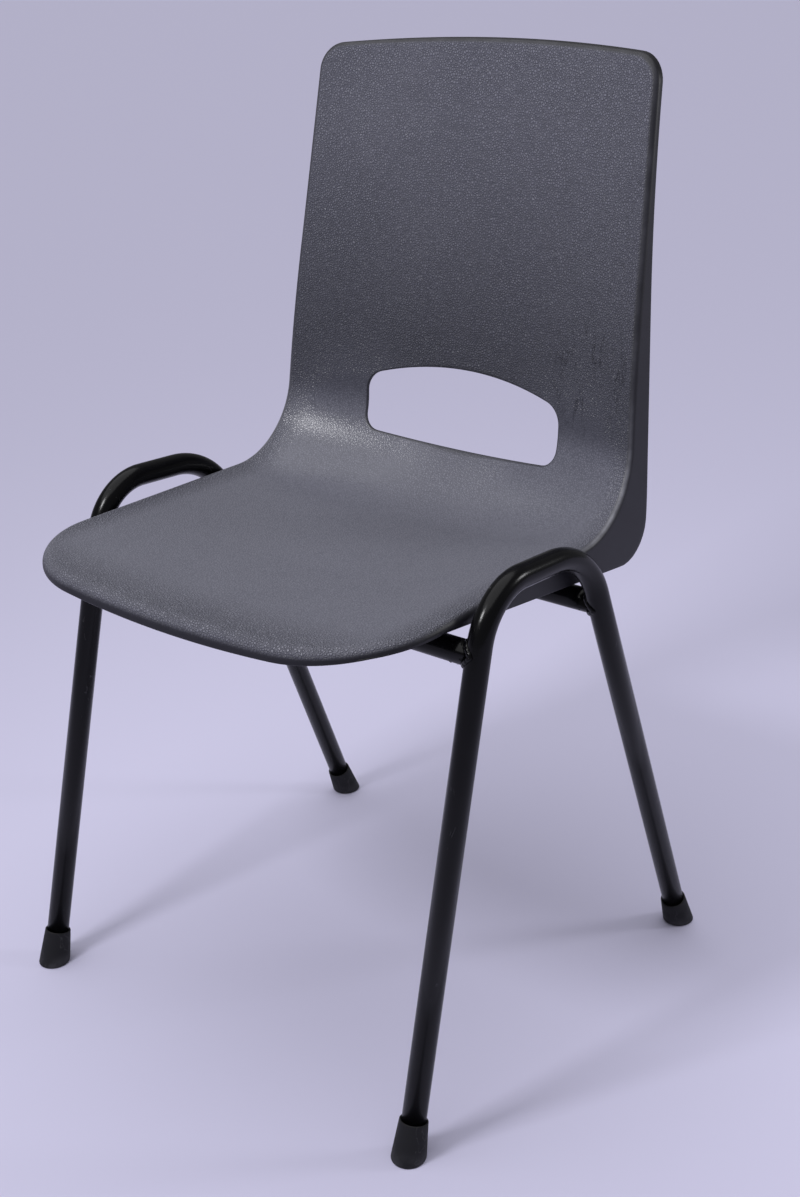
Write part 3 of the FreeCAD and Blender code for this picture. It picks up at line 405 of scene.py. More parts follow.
def half_width(height):
    """Half the chair's width at a height: straight, then an easing arc, then the taper."""
    taper_start = WAIST - waist_swing + WAIST_RADIUS * math.sin(TAPER)
    eased = WAIST_RADIUS * (1 - np.cos(side_turn(height)))
    return HALF_SEAT - eased - np.maximum(height - taper_start, 0) * math.tan(TAPER)


def outline_arc(centre, radius, start, end, count):
    """Points on an arc and its outward directions, with the angle counted from straight below."""
    angle = np.linspace(start, end, count)
    out = np.stack([np.sin(angle), -np.cos(angle)], axis=1)
    return np.asarray(centre) + radius * out, out


def two_arcs(first, second, axis):
    """Arcs drawn in plan (axis 1) or from the front (axis 2): across, along, wall direction."""
    points, out = (np.concatenate([a, b[1:]]) for a, b in zip(first, second))
    wall = np.insert(out, 3 - axis, 0.0, axis=1)
    return points[:, 0], along_from(points[:, 0], points[:, 1], axis), wall


print("half width at 600 mm:", half_width(600.0).round(1))


# %% Rim line
def half_rim(count=1400):
    """Lip, corner, side and crest as columns: across, along, wall direction and its turn back."""
    quarter, straight = count // 4, math.pi / 2
    lip_x, lip_along, lip_wall = two_arcs(
        outline_arc((0, LIP_BOW - LIP_REACH), LIP_BOW, 0, bow_turn, quarter),
        outline_arc((corner_x, corner_y), LIP_CORNER, bow_turn, straight, count // 3), 1)
    high_x, high_along, high_wall = two_arcs(
        outline_arc((CREST_X, CREST_Z), CREST_CORNER, straight + TAPER, math.pi - crest_turn,
                    quarter),
        outline_arc((0, CREST - CREST_RADIUS), CREST_RADIUS, math.pi - crest_turn, math.pi,
                    quarter), 2)
    side_along = np.linspace(lip_along[-1], high_along[0], count)[1:-1]
    side_x = np.full(len(side_along), HALF_SEAT)
    for _ in range(4):
        side_z = face(side_x, side_along)[:, 2]
        side_x = half_width(side_z)
    lift = side_turn(side_z)
    side_wall = np.stack([np.cos(lift), 0 * lift, np.sin(lift)], axis=1)
    across = np.concatenate([lip_x, side_x, high_x])
    along = np.concatenate([lip_along, side_along, high_along])
    wall = np.concatenate([lip_wall, side_wall, high_wall])
    back = np.concatenate([np.zeros(len(lip_x)),
                           ease((side_along - BEND_START) / (BEND_END - BEND_START)),
                           np.ones(len(high_x))])
    return np.column_stack([across, along, wall, back])


def whole_rim(count):
    """The half rim at even steps, followed by its mirror image."""
    dense = half_rim()
    points = face(dense[:, 0], dense[:, 1])
    run = np.concatenate([[0], np.cumsum(np.linalg.norm(np.diff(points, axis=0), axis=1))])
    even = np.linspace(0, run[-1], count // 2 + 1)
    half = np.stack([np.interp(even, run, column) for column in dense.T], axis=1)
    mirrored = half[-2:0:-1] * np.array([-1, 1, -1, 1, 1, 1])
    return np.concatenate([half, mirrored])


AROUND = 640
rim = whole_rim(AROUND)
rim_x, rim_along, rim_wall, rim_back = rim[:, 0], rim[:, 1], unit(rim[:, 2:5]), rim[:, 5]
print("rim points:", AROUND)

# %% [markdown]
# ## The hand hole
# The hole is cut straight through the back, so its outline is drawn from the front: upright
# sides, an arched top and a lightly curved sill with round corners. The shell's grid runs in
# rays from the hole to the rim, and each ray starts where it crosses the hole's outline.

# %% Hand hole
HOLE_HALF = 119.0
SILL, ARCH_TOP = 504.0, 584.5
ARCH_RADIUS, SILL_RADIUS = 382.0, 1100.0
TOP_CORNER, LOW_CORNER = 22.0, 17.0
HOLE_ROUND = 0.9


def hole_outline(count=500):
    """Right half from the sill's middle up to the arch's middle, then its mirror image."""
    low_x, top_x = HOLE_HALF - LOW_CORNER, HOLE_HALF - TOP_CORNER
    sill_z, arch_z = SILL + SILL_RADIUS, ARCH_TOP - ARCH_RADIUS
    low_z = sill_z - math.sqrt((SILL_RADIUS - LOW_CORNER) ** 2 - low_x ** 2)
    top_z = arch_z + math.sqrt((ARCH_RADIUS - TOP_CORNER) ** 2 - top_x ** 2)
    low_turn = math.atan2(low_x, sill_z - low_z)
    top_turn = math.atan2(top_x, top_z - arch_z)
    arcs = [
        outline_arc((0, sill_z), SILL_RADIUS, 0, low_turn, count),
        outline_arc((low_x, low_z), LOW_CORNER, low_turn, math.pi / 2, count),
        outline_arc((top_x, top_z), TOP_CORNER, math.pi / 2, math.pi - top_turn, count),
        outline_arc((0, arch_z), ARCH_RADIUS, math.pi - top_turn, math.pi, count),
    ]
    half = np.concatenate([np.column_stack([points, -out]) for points, out in arcs])
    return np.concatenate([half, half[::-1] * np.array([-1, 1, -1, 1])])


outline = hole_outline()
outline_along = along_from(outline[:, 0], outline[:, 1], 2)
hole_middle = (outline_along.min() + outline_along.max()) / 2
outline_angle = np.arctan2(outline[:, 0], hole_middle - outline_along)
order = np.argsort(outline_angle)
ray_angle = np.arctan2(rim_x, hole_middle - rim_along)


def where_ray_crosses(column):
    """A column of the hole's outline, read off at each ray's angle."""
    return np.interp(ray_angle, outline_angle[order], column[order], period=2 * math.pi)


hole_x = where_ray_crosses(outline[:, 0])
hole_z = where_ray_crosses(outline[:, 1])
hole_wall = unit(np.stack([where_ray_crosses(outline[:, 2]), np.zeros(AROUND),
                           where_ray_crosses(outline[:, 3])], axis=1))
hole_along = along_from(hole_x, hole_z, 2)
print("hole from", hole_z.min().round(1), "to", hole_z.max().round(1), "mm high")

# %% [markdown]
# ## The free edge of the flange
# All round the shell the moulding turns over its rim into a flange, down under the seat and
# back behind the backrest. Its free edge is one more side profile: out from the lip, along
# under the seat, round a corner and up the back. From each rim point a ray runs down the
# flange, straight down at the seat and straight back at the back, and swings between.

# %% Flange edge
LIP_DEPTH = 13.0
SHALLOW_REACH, SHALLOW_DEPTH = 165.0, 7.0
FALL = math.radians(5.2)
EDGE_CORNER = 38.0
WAIST_DEPTH = 29.2
EDGE_LEAN = math.radians(1.6)
CURVE_HEIGHT, CURVE_RADIUS = 674.0, 1500.0


def crossing(start, direction, other, other_direction):
    """The meeting point of two straight lines in the side view."""
    step = np.linalg.solve(np.column_stack([direction, -np.asarray(other_direction)]),
                           np.asarray(other) - np.asarray(start))
    return np.asarray(start) + step[0] * np.asarray(direction)


def edge_profile(form, count=260):
    """The free edge at one station: lip run, under run, corner, rear run and upper curve."""
    edge_z = SEAT_HEIGHT - LIP_DEPTH - form["drop"]
    shallow = np.array([-SHALLOW_REACH, SEAT_HEIGHT - SHALLOW_DEPTH - form["drop"]])
    slope = (shallow[1] - edge_z) / (LIP_REACH - SHALLOW_REACH)
    tip = np.array([-LIP_REACH - MARGIN, edge_z - slope * MARGIN])
    waist = np.array([EDGE["back"] + WAIST_DEPTH + form["offset"], WAIST])
    down = np.array([math.cos(FALL), -math.sin(FALL)])
    up = np.array([math.sin(EDGE_LEAN), math.cos(EDGE_LEAN)])
    inner = np.array([math.sin(FALL), math.cos(FALL)])
    ahead = np.array([-math.cos(EDGE_LEAN), math.sin(EDGE_LEAN)])
    centre = crossing(shallow + EDGE_CORNER * inner, down, waist + EDGE_CORNER * ahead, up)
    curve_start = waist + up * (CURVE_HEIGHT - WAIST) / up[1]
    curve_centre = curve_start - CURVE_RADIUS * ahead
    share = np.linspace(0, 1, count)
    high = math.asin((CREST + MARGIN - curve_centre[1]) / CURVE_RADIUS)
    return np.concatenate([
        between(tip, shallow, share),
        between(shallow, centre - EDGE_CORNER * inner, share),
        on_circle(centre, EDGE_CORNER,
                  -math.pi / 2 - FALL + share * (math.pi / 2 + FALL - EDGE_LEAN)),
        between(centre - EDGE_CORNER * ahead, curve_start, share),
        on_circle(curve_centre, CURVE_RADIUS,
                  math.pi + (-EDGE_LEAN) + share * (-high + EDGE_LEAN)),
    ])


def reach_edge(points, direction):
    """Follow each point's ray in the side view until it crosses the free edge at that x."""
    middle = edge_profile(MIDDLE)
    share = (points[:, 0] / HALF_SEAT)[:, None, None] ** 2
    curve = middle + (edge_profile(EDGE) - middle) * share
    apart = curve - points[:, None, 1:]
    beside = direction[:, None, 0] * apart[..., 1] - direction[:, None, 1] * apart[..., 0]
    ahead = (direction[:, None, :] * apart).sum(axis=-1)
    crosses = (beside[:, :-1] * beside[:, 1:] <= 0) & (ahead[:, :-1] > 0)
    first = crosses.argmax(axis=1)
    row = np.arange(len(points))
    share = beside[row, first] / (beside[row, first] - beside[row, first + 1] + 1e-12)
    length = ahead[row, first] + share * (ahead[row, first + 1] - ahead[row, first])
    return length


# %% [markdown]
# ## The rolled rim
# Where the face turns over into the flange, a ball of changing radius rolls along the crease:
# 12 mm at the lip, 4.4 mm along the bend and 6 mm round the upper back. Its centre lies at
# crease - radius * (face direction + wall direction) / (1 + their product), and the skin
# follows the ball from the face's direction to the wall's. The inside follows a ball that is
# one wall smaller.

# %% Rim rounding
LIP_ROUND, CORNER_ROUND, BEND_ROUND, BACK_ROUND, LEAST_ROUND = 12.0, 8.5, 4.4, 6.0, 1.0
corner_end = along_from(np.array([HALF_SEAT]), np.array([corner_y]), 1)[0]


def rim_radius():
    """The ball's radius at each rim point, from its distance along and its turn at the lip."""
    turned = np.arctan2(np.abs(rim_wall[:, 0]), -rim_wall[:, 1])
    at_lip = LIP_ROUND + (CORNER_ROUND - LIP_ROUND) * np.clip(
        (turned - bow_turn) / (math.pi / 2 - bow_turn), 0, 1)
    beyond = np.interp(rim_along, [corner_end, BEND_START, BEND_END, LUMBAR_END],
                       [CORNER_ROUND, BEND_ROUND, BEND_ROUND, BACK_ROUND])
    return np.where(rim_along < corner_end + 1, at_lip, beyond)


def ball_centre(crease, first, second, radius):
    """The centre of a ball that touches both sheets beside a crease."""
    product = (first * second).sum(axis=-1, keepdims=True)
    return crease - radius * (first + second) / (1 + product)


radius = rim_radius()[:, None]
inner_radius = np.maximum(radius - WALL, LEAST_ROUND)
crease = face(rim_x, rim_along)
lean = face_normal(rim_x, rim_along)
centre = ball_centre(crease, lean, rim_wall, radius)
touch = centre + radius * lean
touch_x, touch_along = touch[:, 0], nearest_along(touch)
print("rim radius from", radius.min().round(1), "to", radius.max().round(1), "mm")

# %% [markdown]
# ## The shell as one closed sheet
# Rings of the grid run from the hole's front edge out over the face, round the rim, down the
# flange, round its free edge, back up inside and over the hidden side to the hole's rear
# edge, where the first ring is met again. The moulding has no seam and an even wall.
# Three masks ride along for the finish: rim, grain and inside.

# %% Rings and roundings
EDGE_ROUND = 0.9
FACE_RINGS, BACK_RINGS, FLANGE_RINGS, RIM_RINGS = 62, 24, 8, 10
HOLE_GRAIN = 0.3
PALE_LINE_ACROSS, PALE_LINE_WIDTH = 0.42, 0.26
GRAIN_END, GRAIN_FURTHER, GRAIN_FADE = 0.3, 0.65, 0.35


def face_ring(share, depth):
    """The ring at a share of the way from the hole to the rim, sunk into the wall by depth."""
    x = hole_start_x + (touch_x - hole_start_x) * share
    along = hole_start_along + (touch_along - hole_start_along) * share
    return face(x, along) - depth * face_normal(x, along)


def spread(count, crowd=0.35):
    """Shares from 0 to 1, closer together at both ends; the ends themselves are left out."""
    even = np.linspace(0, 1, count + 2)[1:-1]
    return (1 - crowd) * even + crowd * ease(even)


def rounding(middle, size, start, end, count):
    """Rings on a rolled edge, from one direction to the other."""
    return [middle + size * turn_between(start, end, share) for share in np.linspace(0, 1, count)]


print("shares of three rings:", spread(3).round(3))


# %% Shell grid
def shell_rings():
    """Every ring of the shell with its mask values: rim, grain and inside."""
    to_rear = np.zeros((AROUND, 3))
    to_rear[:, 1] = WALL / -hole_lean[:, 1]
    rear_centre = ball_centre(hole_front + to_rear, -hole_lean, hole_wall, HOLE_ROUND)

    rings, marks = [], []

    def add(new_rings, *masks):
        """Keep rings with their masks, each a number, a value per ring or a value per point."""
        shape = (len(new_rings), AROUND)
        rings.extend(new_rings)
        marks.extend(np.stack([np.broadcast_to(mask, shape) for mask in masks], axis=-1))

    add(rounding(hole_start, HOLE_ROUND, hole_wall, hole_lean, 4), 0.0, HOLE_GRAIN, 0.0)
    add([face_ring(share, 0.0) for share in spread(FACE_RINGS)], 0.0, 1.0, 0.0)

    start = rounding(centre, radius, face_normal(touch_x, touch_along), rim_wall, RIM_RINGS)
    arc_share = np.linspace(0, 1, RIM_RINGS)[:, None]
    # A pale line along the rim's rounding: a bell curve across it.
    rubbed = np.exp(-((arc_share - PALE_LINE_ACROSS) / PALE_LINE_WIDTH) ** 2)
    at_lip = ease((LIP_ROUND - radius[:, 0]) / (BEND_ROUND - LIP_ROUND) + 1)
    grained = ease((GRAIN_END + GRAIN_FURTHER * at_lip - arc_share) / GRAIN_FADE)
    add(start, rubbed, grained, 0.0)

    swing = rim_back * math.pi / 2
    down = np.stack([np.sin(swing), -np.cos(swing)], axis=1)
    ray = np.concatenate([np.zeros((AROUND, 1)), down], axis=1)
    top = start[-1]
    length = reach_edge(top, down)[:, None]
    edge = top + ray * length
    on_side = (np.abs(rim_wall[:, 1]) < 0.01) & (rim_along < high_start)

    def on_wall(points, depth):
        """Keep a flange point of the side on the outline seen from the front."""
        width = half_width(points[:, 2]) - depth
        shifted = points.copy()
        shifted[on_side, 0] = (np.sign(points[:, 0]) * width)[on_side]
        return shifted

    edge = on_wall(edge, 0.0)
    outer_end = edge - EDGE_ROUND * (rim_wall + ray)
    inner_end = edge - WALL * rim_wall - EDGE_ROUND * (ray - rim_wall)
    flange_end = outer_end + EDGE_ROUND * rim_wall
    add([on_wall(between(top, flange_end, share), 0.0) for share in spread(FLANGE_RINGS)],
        0.0, 0.0, 0.0)
    add(rounding(outer_end, EDGE_ROUND, rim_wall, ray, 4), 0.0, 0.0, 0.0)
    add(rounding(inner_end, EDGE_ROUND, ray, -rim_wall, 4), 0.0, 0.0, 1.0)

    inner_crease = crease - WALL * (lean + rim_wall) / (
        1 + (lean * rim_wall).sum(axis=1, keepdims=True))
    inner_centre = ball_centre(inner_crease, lean, rim_wall, inner_radius)
    inner_top = inner_centre + inner_radius * rim_wall
    inner_low = inner_end - EDGE_ROUND * rim_wall
    add([on_wall(between(inner_low, inner_top, share), WALL)
         for share in spread(FLANGE_RINGS - 2)], 0.0, 0.0, 1.0)
    add(rounding(inner_centre, inner_radius, rim_wall, lean, 6), 0.0, 0.0, 1.0)
    add([face_ring(share, WALL) for share in spread(BACK_RINGS)[::-1]], 0.0, 0.0, 1.0)
    add(rounding(rear_centre, HOLE_ROUND, -hole_lean, hole_wall, 4), 0.0, 0.0, 1.0)
    return np.stack(rings), np.stack(marks)


hole_front, hole_lean = face(hole_x, hole_along), face_normal(hole_x, hole_along)
hole_start = ball_centre(hole_front, hole_lean, hole_wall, HOLE_ROUND)
hole_start_x = hole_start[:, 0]
hole_start_along = along_from(hole_start_x, hole_start[:, 2], 2)
high_start = along_from(np.array([CREST_X + CREST_CORNER]), np.array([CREST_Z]), 2)[0]
rings, marks = shell_rings()
print("shell grid:", rings.shape)

# %% [markdown]
# ## Where the frame stands
# Saddles, hoops, cross tubes, caps and screws share a few places: where the feet stand, where
# the legs' lines meet the level run under the seat, and how high the cross tubes lie. In the
# side view each leg is a straight line, and the axis of its cross tube lies on it.

# %% Frame places
TUBE = 11.0
SPLAY = math.radians(0.63)
FEET = {"front": (-224.7, 0.0), "rear": (243.4, 0.0)}
CORNERS = {"front": (-109.3, 493.1), "rear": (37.1, 487.2)}
HOOP_ROOM = 3.2
SPREAD = HALF_SEAT + HOOP_ROOM + TUBE + CORNERS["front"][1] * math.tan(SPLAY)
CROSS_HEIGHTS = {"front": 439.7, "rear": 426.2}
JOINT_GAP = 0.1


def leg_line(place):
    """A leg's foot on the floor and its direction, in the side view."""
    foot = np.array(FEET[place])
    return foot, unit(np.array(CORNERS[place]) - foot)


def cross_place(place):
    """Where a cross tube's axis lies in the side view: on its legs' line, at its height."""
    foot, direction = leg_line(place)
    height = CROSS_HEIGHTS[place]
    return foot[0] + direction[0] * height / direction[1], height


print("cross tubes at", {place: cross_place(place) for place in CROSS_HEIGHTS})

# %% [markdown]
# ## Saddles under the seat
# The shell rests on the cross tubes by four moulded saddles. Each is an upright block with
# rounded corners and a groove that fits over its tube. It is a column of rings: one rounded
# rectangle above and below, then ever smaller ones that follow the groove to its middle.

# %% Saddles
SADDLE_SPREAD = 150.0
SADDLE_LENGTH, SADDLE_WIDTH, SADDLE_CORNER = 36.0, 30.0, 5.0
SADDLE_WRAP, SADDLE_ROOM = 6.0, 0.3


def rounded_rectangle(length, width, corner, count=72):
    """A rectangle's outline with round corners, walked by the angle of its corners' arcs."""
    out = on_circle((0, 0), 1, turns(count) + math.pi / count)
    return np.sign(out) * np.array([length / 2 - corner, width / 2 - corner]) + corner * out


def saddle(place, side):
    """A block from inside the shell's wall down over its tube, with a groove along the tube."""
    y, z = cross_place(place)
    middle = np.array([side * SADDLE_SPREAD, y])
    plan = middle + rounded_rectangle(SADDLE_LENGTH, SADDLE_WIDTH, SADDLE_CORNER)
    top = face(plan[:, 0], along_from(plan[:, 0], plan[:, 1], 1))[:, 2] - WALL / 2
    bottom, room = z + TUBE - SADDLE_WRAP, TUBE + SADDLE_ROOM

    def groove(points):
        """The tube's round room where it is above the flat bottom, the bottom elsewhere."""
        aside = np.clip(np.abs(points[:, 1] - y), 0, room)
        return np.maximum(bottom, z + np.sqrt(room ** 2 - aside ** 2))

    layers = [np.column_stack([between(middle, plan, share), top]) for share in (0.9, 1.0)]
    for share in np.linspace(1, 0.02, 22):
        points = between(middle, plan, share)
        layers.append(np.column_stack([points, groove(points)]))
    return tube_of_rings(np.stack(layers))


saddles = [saddle(place, side) for place in CROSS_HEIGHTS for side in (1, -1)]
saddle_points = sum(len(points) for points, _ in saddles)
print("saddles:", len(saddles))

# %% [markdown]
# ## The shell's masks
# The rim has a pale line that is strongest at the bend, and sitters polish the seat and the bend.
# The pale line's strength along the rim is a bell curve round the middle of the bend. The others
# are smooth steps, from where a mask is none to where it is full.
# The low back's darker colour isn't wear but painted shade: little light falls there, which the
# even light here doesn't give, so a mask named low_shade darkens the plastic instead.

# %% Shell piece
PALE_LINE_LEAST, PALE_LINE_MIDDLE, PALE_LINE_REACH = 0.15, BEND_START + 60.0, 80.0
POLISH_UP, POLISH_BACK, POLISH_IN = (565.0, 495.0), (-255.0, -180.0), (210.0, 180.0)
SHADE_UP, PALE_UP, PALE_SHARE = (520.0, 560.0), (570.0, 840.0), 0.8

# The pale rim line is strongest round the middle of the bend and keeps a least share elsewhere.
pale_line_along = np.exp(-((rim_along - PALE_LINE_MIDDLE) / PALE_LINE_REACH) ** 2)
aside, back, height = np.abs(rings[..., 0]), rings[..., 1], rings[..., 2]
masks = {
    "pale_rim_line": marks[..., 0] * (PALE_LINE_LEAST + (1 - PALE_LINE_LEAST) * pale_line_along),
    "grain_amount": marks[..., 1],
    "inside": marks[..., 2],
    "polish": (eased_from(height, *POLISH_UP) * eased_from(back, *POLISH_BACK)
               * eased_from(aside, *POLISH_IN)),
    "low_shade": eased_from(height, *SHADE_UP) * (1 - PALE_SHARE * eased_from(height, *PALE_UP)),
}
shell = make_piece(
    "moulded_shell",
    [loop_of_rings(rings)] + saddles,
    "seat_shell",
    {name: np.append(amounts, np.full(saddle_points, float(name == "inside")))
     for name, amounts in masks.items()},
)

# %% [markdown]
# ## Bent side hoops
# Each hoop is one steel tube: up the front leg, round a bend, level under the shell's side,
# round a wider bend and down the rear leg. The path is flat, so every section is a circle
# spanned by the path's own normal and the hoop plane's normal. The whole plane leans in.

# %% Hoops
FRONT_BEND, REAR_BEND = 57.7, 83.5
CAP_FLOOR = 7.0
TUBE_SIDES, ROUND_SIDES = 56, 96


def hoop_path(steps=30):
    """Points of the hoop's centre line in its plane: three runs and two tangent arcs."""
    corners = np.array([FEET["front"], CORNERS["front"], CORNERS["rear"], FEET["rear"]])
    runs = unit(np.diff(corners, axis=0))
    path = [corners[0] + CAP_FLOOR * runs[0]]
    for corner, before, after, bend in zip(corners[1:3], runs, runs[1:], (FRONT_BEND, REAR_BEND)):
        turn = math.acos(before @ after)
        setback = bend * math.tan(turn / 2)
        middle = corner - setback * before + bend * np.array([before[1], -before[0]])
        start = math.atan2(*(corner - setback * before - middle)[::-1])
        angle = start - turn * np.linspace(0, 1, steps)
        path.append(on_circle(middle, bend, angle))
    path.append(corners[3] - CAP_FLOOR * runs[2])
    return np.concatenate([np.atleast_2d(part) for part in path])


def lean_in(points, side):
    """Tilt a hoop's plane in and set it beside the seat: plane normal, y and height to x, y, z."""
    beside, y, z = points[..., 0], points[..., 1], points[..., 2]
    x = SPREAD + beside * math.cos(SPLAY) - z * math.sin(SPLAY)
    return np.stack([side * x, y, beside * math.sin(SPLAY) + z * math.cos(SPLAY)], axis=-1)


def hoop(side):
    """A circle of the tube's radius carried along the path."""
    path = hoop_path()
    run = unit(np.gradient(path, axis=0))
    normal = np.stack([-run[:, 1], run[:, 0]], axis=1)
    angle = turns(TUBE_SIDES)
    aside = np.broadcast_to(TUBE * np.sin(angle)[None, :], (len(path), TUBE_SIDES))
    flat = path[:, None, :] + TUBE * np.cos(angle)[None, :, None] * normal[:, None, :]
    return tube_of_rings(lean_in(np.concatenate([aside[..., None], flat], axis=-1), side))


hoops = {
    "left": make_piece("left_hoop", [hoop(1)], "left_side_frame"),
    "right": make_piece("right_hoop", [hoop(-1)], "right_side_frame"),
}

# %% [markdown]
# ## Cross tubes
# Each cross tube is cut at both ends to the round of its leg, so it meets the hoop with no
# gap. A point of the tube lies beside the leg's axis by e, and the tube ends where
# x = leg axis - square root of (leg radius squared - e squared).

# %% Cross tubes
CROSS_RUN, CROSS_RINGS = 205.0, 9


def cope(place, angle, size, leg):
    """Height, depth and end of a tube of a given size at an angle, where it meets the leg."""
    y, z = cross_place(place)
    _, direction = leg_line(place)
    aside = size * np.cos(angle)
    rise = size * np.sin(angle)
    beside = aside * direction[1] - rise * direction[0]
    axis = SPREAD - (z + rise) * math.sin(SPLAY)
    sink = np.sqrt(np.maximum(leg ** 2 - beside ** 2, 0.0))
    return y + aside, z + rise, axis - sink, beside, sink


def cross_tube(place):
    """Rings across the chair; only the ends follow the cope."""
    angle = turns(TUBE_SIDES)
    y, z, end, _, _ = cope(place, angle, TUBE, TUBE + JOINT_GAP)
    even = np.linspace(-CROSS_RUN, CROSS_RUN, CROSS_RINGS)
    stations = [-end] + [np.full(TUBE_SIDES, x) for x in even] + [end]
    return tube_of_rings(np.stack([np.stack([x, y, z], axis=1) for x in stations]))


cross_tubes = {
    place: make_piece(f"{place}_tube", [cross_tube(place)], f"{place}_cross_tube")
    for place in CROSS_HEIGHTS
}

# %% [markdown]
# ## Weld seams
# The cross tubes are welded all round. A seam made by hand is a row of small overlapping
# scales, so its section swells and shrinks along the joint, and a few drops of spatter stay
# on the tubes. The seam follows the same cope line, pushed out between the two tubes.

# %% Weld seams
BEAD, BEAD_HIGH, BEAD_WIDE, BEAD_LIFT = 2.1, 0.75, 1.15, 0.45
SCALES, SCALE_CREST = 21, 0.7
LEAST, SWELL, WANDER = 0.86, 0.2, 0.05
SPATTER, SPATTER_BACK, SPATTER_SIZE = 9, (4, 16), (0.35, 0.8)


def seam_line(place, angle):
    """The joint's line, and the directions that look out from the cross tube and the leg."""
    y, z, end, beside, sink = cope(place, angle, TUBE, TUBE)
    _, direction = leg_line(place)
    from_tube = np.stack([0 * angle, np.cos(angle), np.sin(angle)], axis=1)
    from_leg = np.stack([-sink, beside * direction[1], -beside * direction[0]], axis=1) / TUBE
    return np.stack([end, y, z], axis=1), from_tube, from_leg


def seam(place, side, lag):
    """A rippled ring round the joint; each scale is a sine swell with a sharper crest."""
    angle = turns(SCALES * 12)
    line, from_tube, from_leg = seam_line(place, angle)
    out = unit(from_tube + from_leg)
    along = unit(np.roll(line, -1, axis=0) - np.roll(line, 1, axis=0))
    across = np.cross(out, along)
    scale = np.abs(np.sin(SCALES * angle / 2 + lag)) ** SCALE_CREST
    size = BEAD * (LEAST + SWELL * scale + WANDER * np.sin(3 * angle + lag))
    section = turns(16)
    shape = size[:, None, None] * (
        np.cos(section)[None, :, None] * out[:, None, :] * BEAD_HIGH
        + np.sin(section)[None, :, None] * across[:, None, :] * BEAD_WIDE
    )
    rings = (line + BEAD_LIFT * out)[:, None, :] + shape
    return loop_of_rings(rings * np.array([side, 1, 1]))


def drop(centre, size):
    """A small ball of spatter, half sunk in the tube."""
    polar, turn = np.meshgrid(np.linspace(0.2, math.pi - 0.2, 6), turns(8), indexing="ij")
    ball = np.stack([np.sin(polar) * np.cos(turn), np.sin(polar) * np.sin(turn), np.cos(polar)],
                    axis=-1)
    return tube_of_rings(centre + size * ball)


def spatter(place, side, seed):
    """Drops at random places on the cross tube's skin, close to the joint."""
    dice = np.random.default_rng(seed)
    drops = []
    draws = [dice.uniform(*span, SPATTER)
             for span in ((0, 2 * math.pi), SPATTER_BACK, SPATTER_SIZE)]
    for angle, back, size in zip(*draws):
        line, _, _ = seam_line(place, np.array([angle]))
        drops.append(drop((line[0] - np.array([back, 0, 0])) * np.array([side, 1, 1]), size))
    return drops


seams = []
for number, place in enumerate(CROSS_HEIGHTS):
    for side in (1, -1):
        seams.append(seam(place, side, 0.7 * number + side))
        seams += spatter(place, side, 10 * number + side + 5)
weld_seams = make_piece("weld_seams", seams, "weld_beads")

# %% [markdown]
# ## Foot caps
# A cap is a tapered rubber cup pushed over the leg's end. Each line of its side runs from the
# mouth down to the floor, and because the leg slants, every line has its own length. Small
# arcs round the mouth and the edge of the sole, where real rubber always is soft.

# %% Foot caps
CAP_HEIGHT, CAP_TOP, CAP_BASE = 36.0, 13.0, 15.8
CAP_BORE = TUBE + 0.15
MOUTH_ROUND, SOLE_ROUND = 0.9, 2.4


def foot_cap(place, side):
    """Rings from the bore's floor up, over the mouth, down the taper and in under the sole."""
    foot, direction = leg_line(place)
    normal = np.array([direction[1], -direction[0]])
    angle = turns(ROUND_SIDES)

    def ring(size, height):
        """A circle round the leg's line at a distance up it."""
        flat = foot + height * direction + size * np.cos(angle)[:, None] * normal
        return lean_in(np.column_stack([size * np.sin(angle), flat]), side)

    layers = [ring(size, CAP_FLOOR) for size in (CAP_BORE * 0.4, CAP_BORE)]
    layers.append(ring(CAP_BORE, CAP_HEIGHT - MOUTH_ROUND))
    middle = (CAP_BORE + CAP_TOP) / 2
    half = (CAP_TOP - CAP_BORE) / 2
    for turn in np.linspace(math.pi, 0, 9):
        layers.append(ring(middle + half * math.cos(turn),
                           CAP_HEIGHT - half + half * math.sin(turn)))
    top = ring(CAP_TOP, CAP_HEIGHT - half - 0.05)
    wide = ring(CAP_BASE, 0.0)
    share = (top[:, 2] / (top[:, 2] - wide[:, 2]))[:, None]
    ground = top + (wide - top) * share
    length = np.linalg.norm(ground - top, axis=1, keepdims=True)
    shoulder = ground + (top - ground) * SOLE_ROUND / length
    middle_foot = ground.mean(axis=0)
    inward = unit(middle_foot - ground)
    sole = ground + inward * SOLE_ROUND
    for share in np.linspace(0.05, 1, 7):
        layers.append(between(top, shoulder, share))
    for share in np.linspace(0, 1, 8)[1:]:
        down, under = between(shoulder, ground, share), between(ground, sole, share)
        layers.append(between(down, under, share))
    layers.append(between(middle_foot, sole, 0.3))
    return tube_of_rings(np.stack(layers))


foot_caps = [
    make_piece(f"rubber_cap_{place}_{name}", [foot_cap(place, side)],
               f"foot_cap_{place}_{name}")
    for place in FEET
    for name, side in (("left", 1), ("right", -1))
]

# %% [markdown]
# ## Seat screws
# Four pan-head screws go up through the cross tubes. The head is a turned profile, and its
# cross recess is pressed in: the rings are pushed up where they lie inside either bar of the
# cross, with a smooth step so that the recess has drawn edges.

# %% Seat screws
SCREW, HEAD, HEAD_HEIGHT, BITE = 2.75, 5.25, 3.6, 11.0
RECESS_BAR, RECESS_REACH, RECESS_DEPTH = 0.75, 2.6, 1.7
BAR_SOFT, REACH_SOFT = 0.25, 0.5


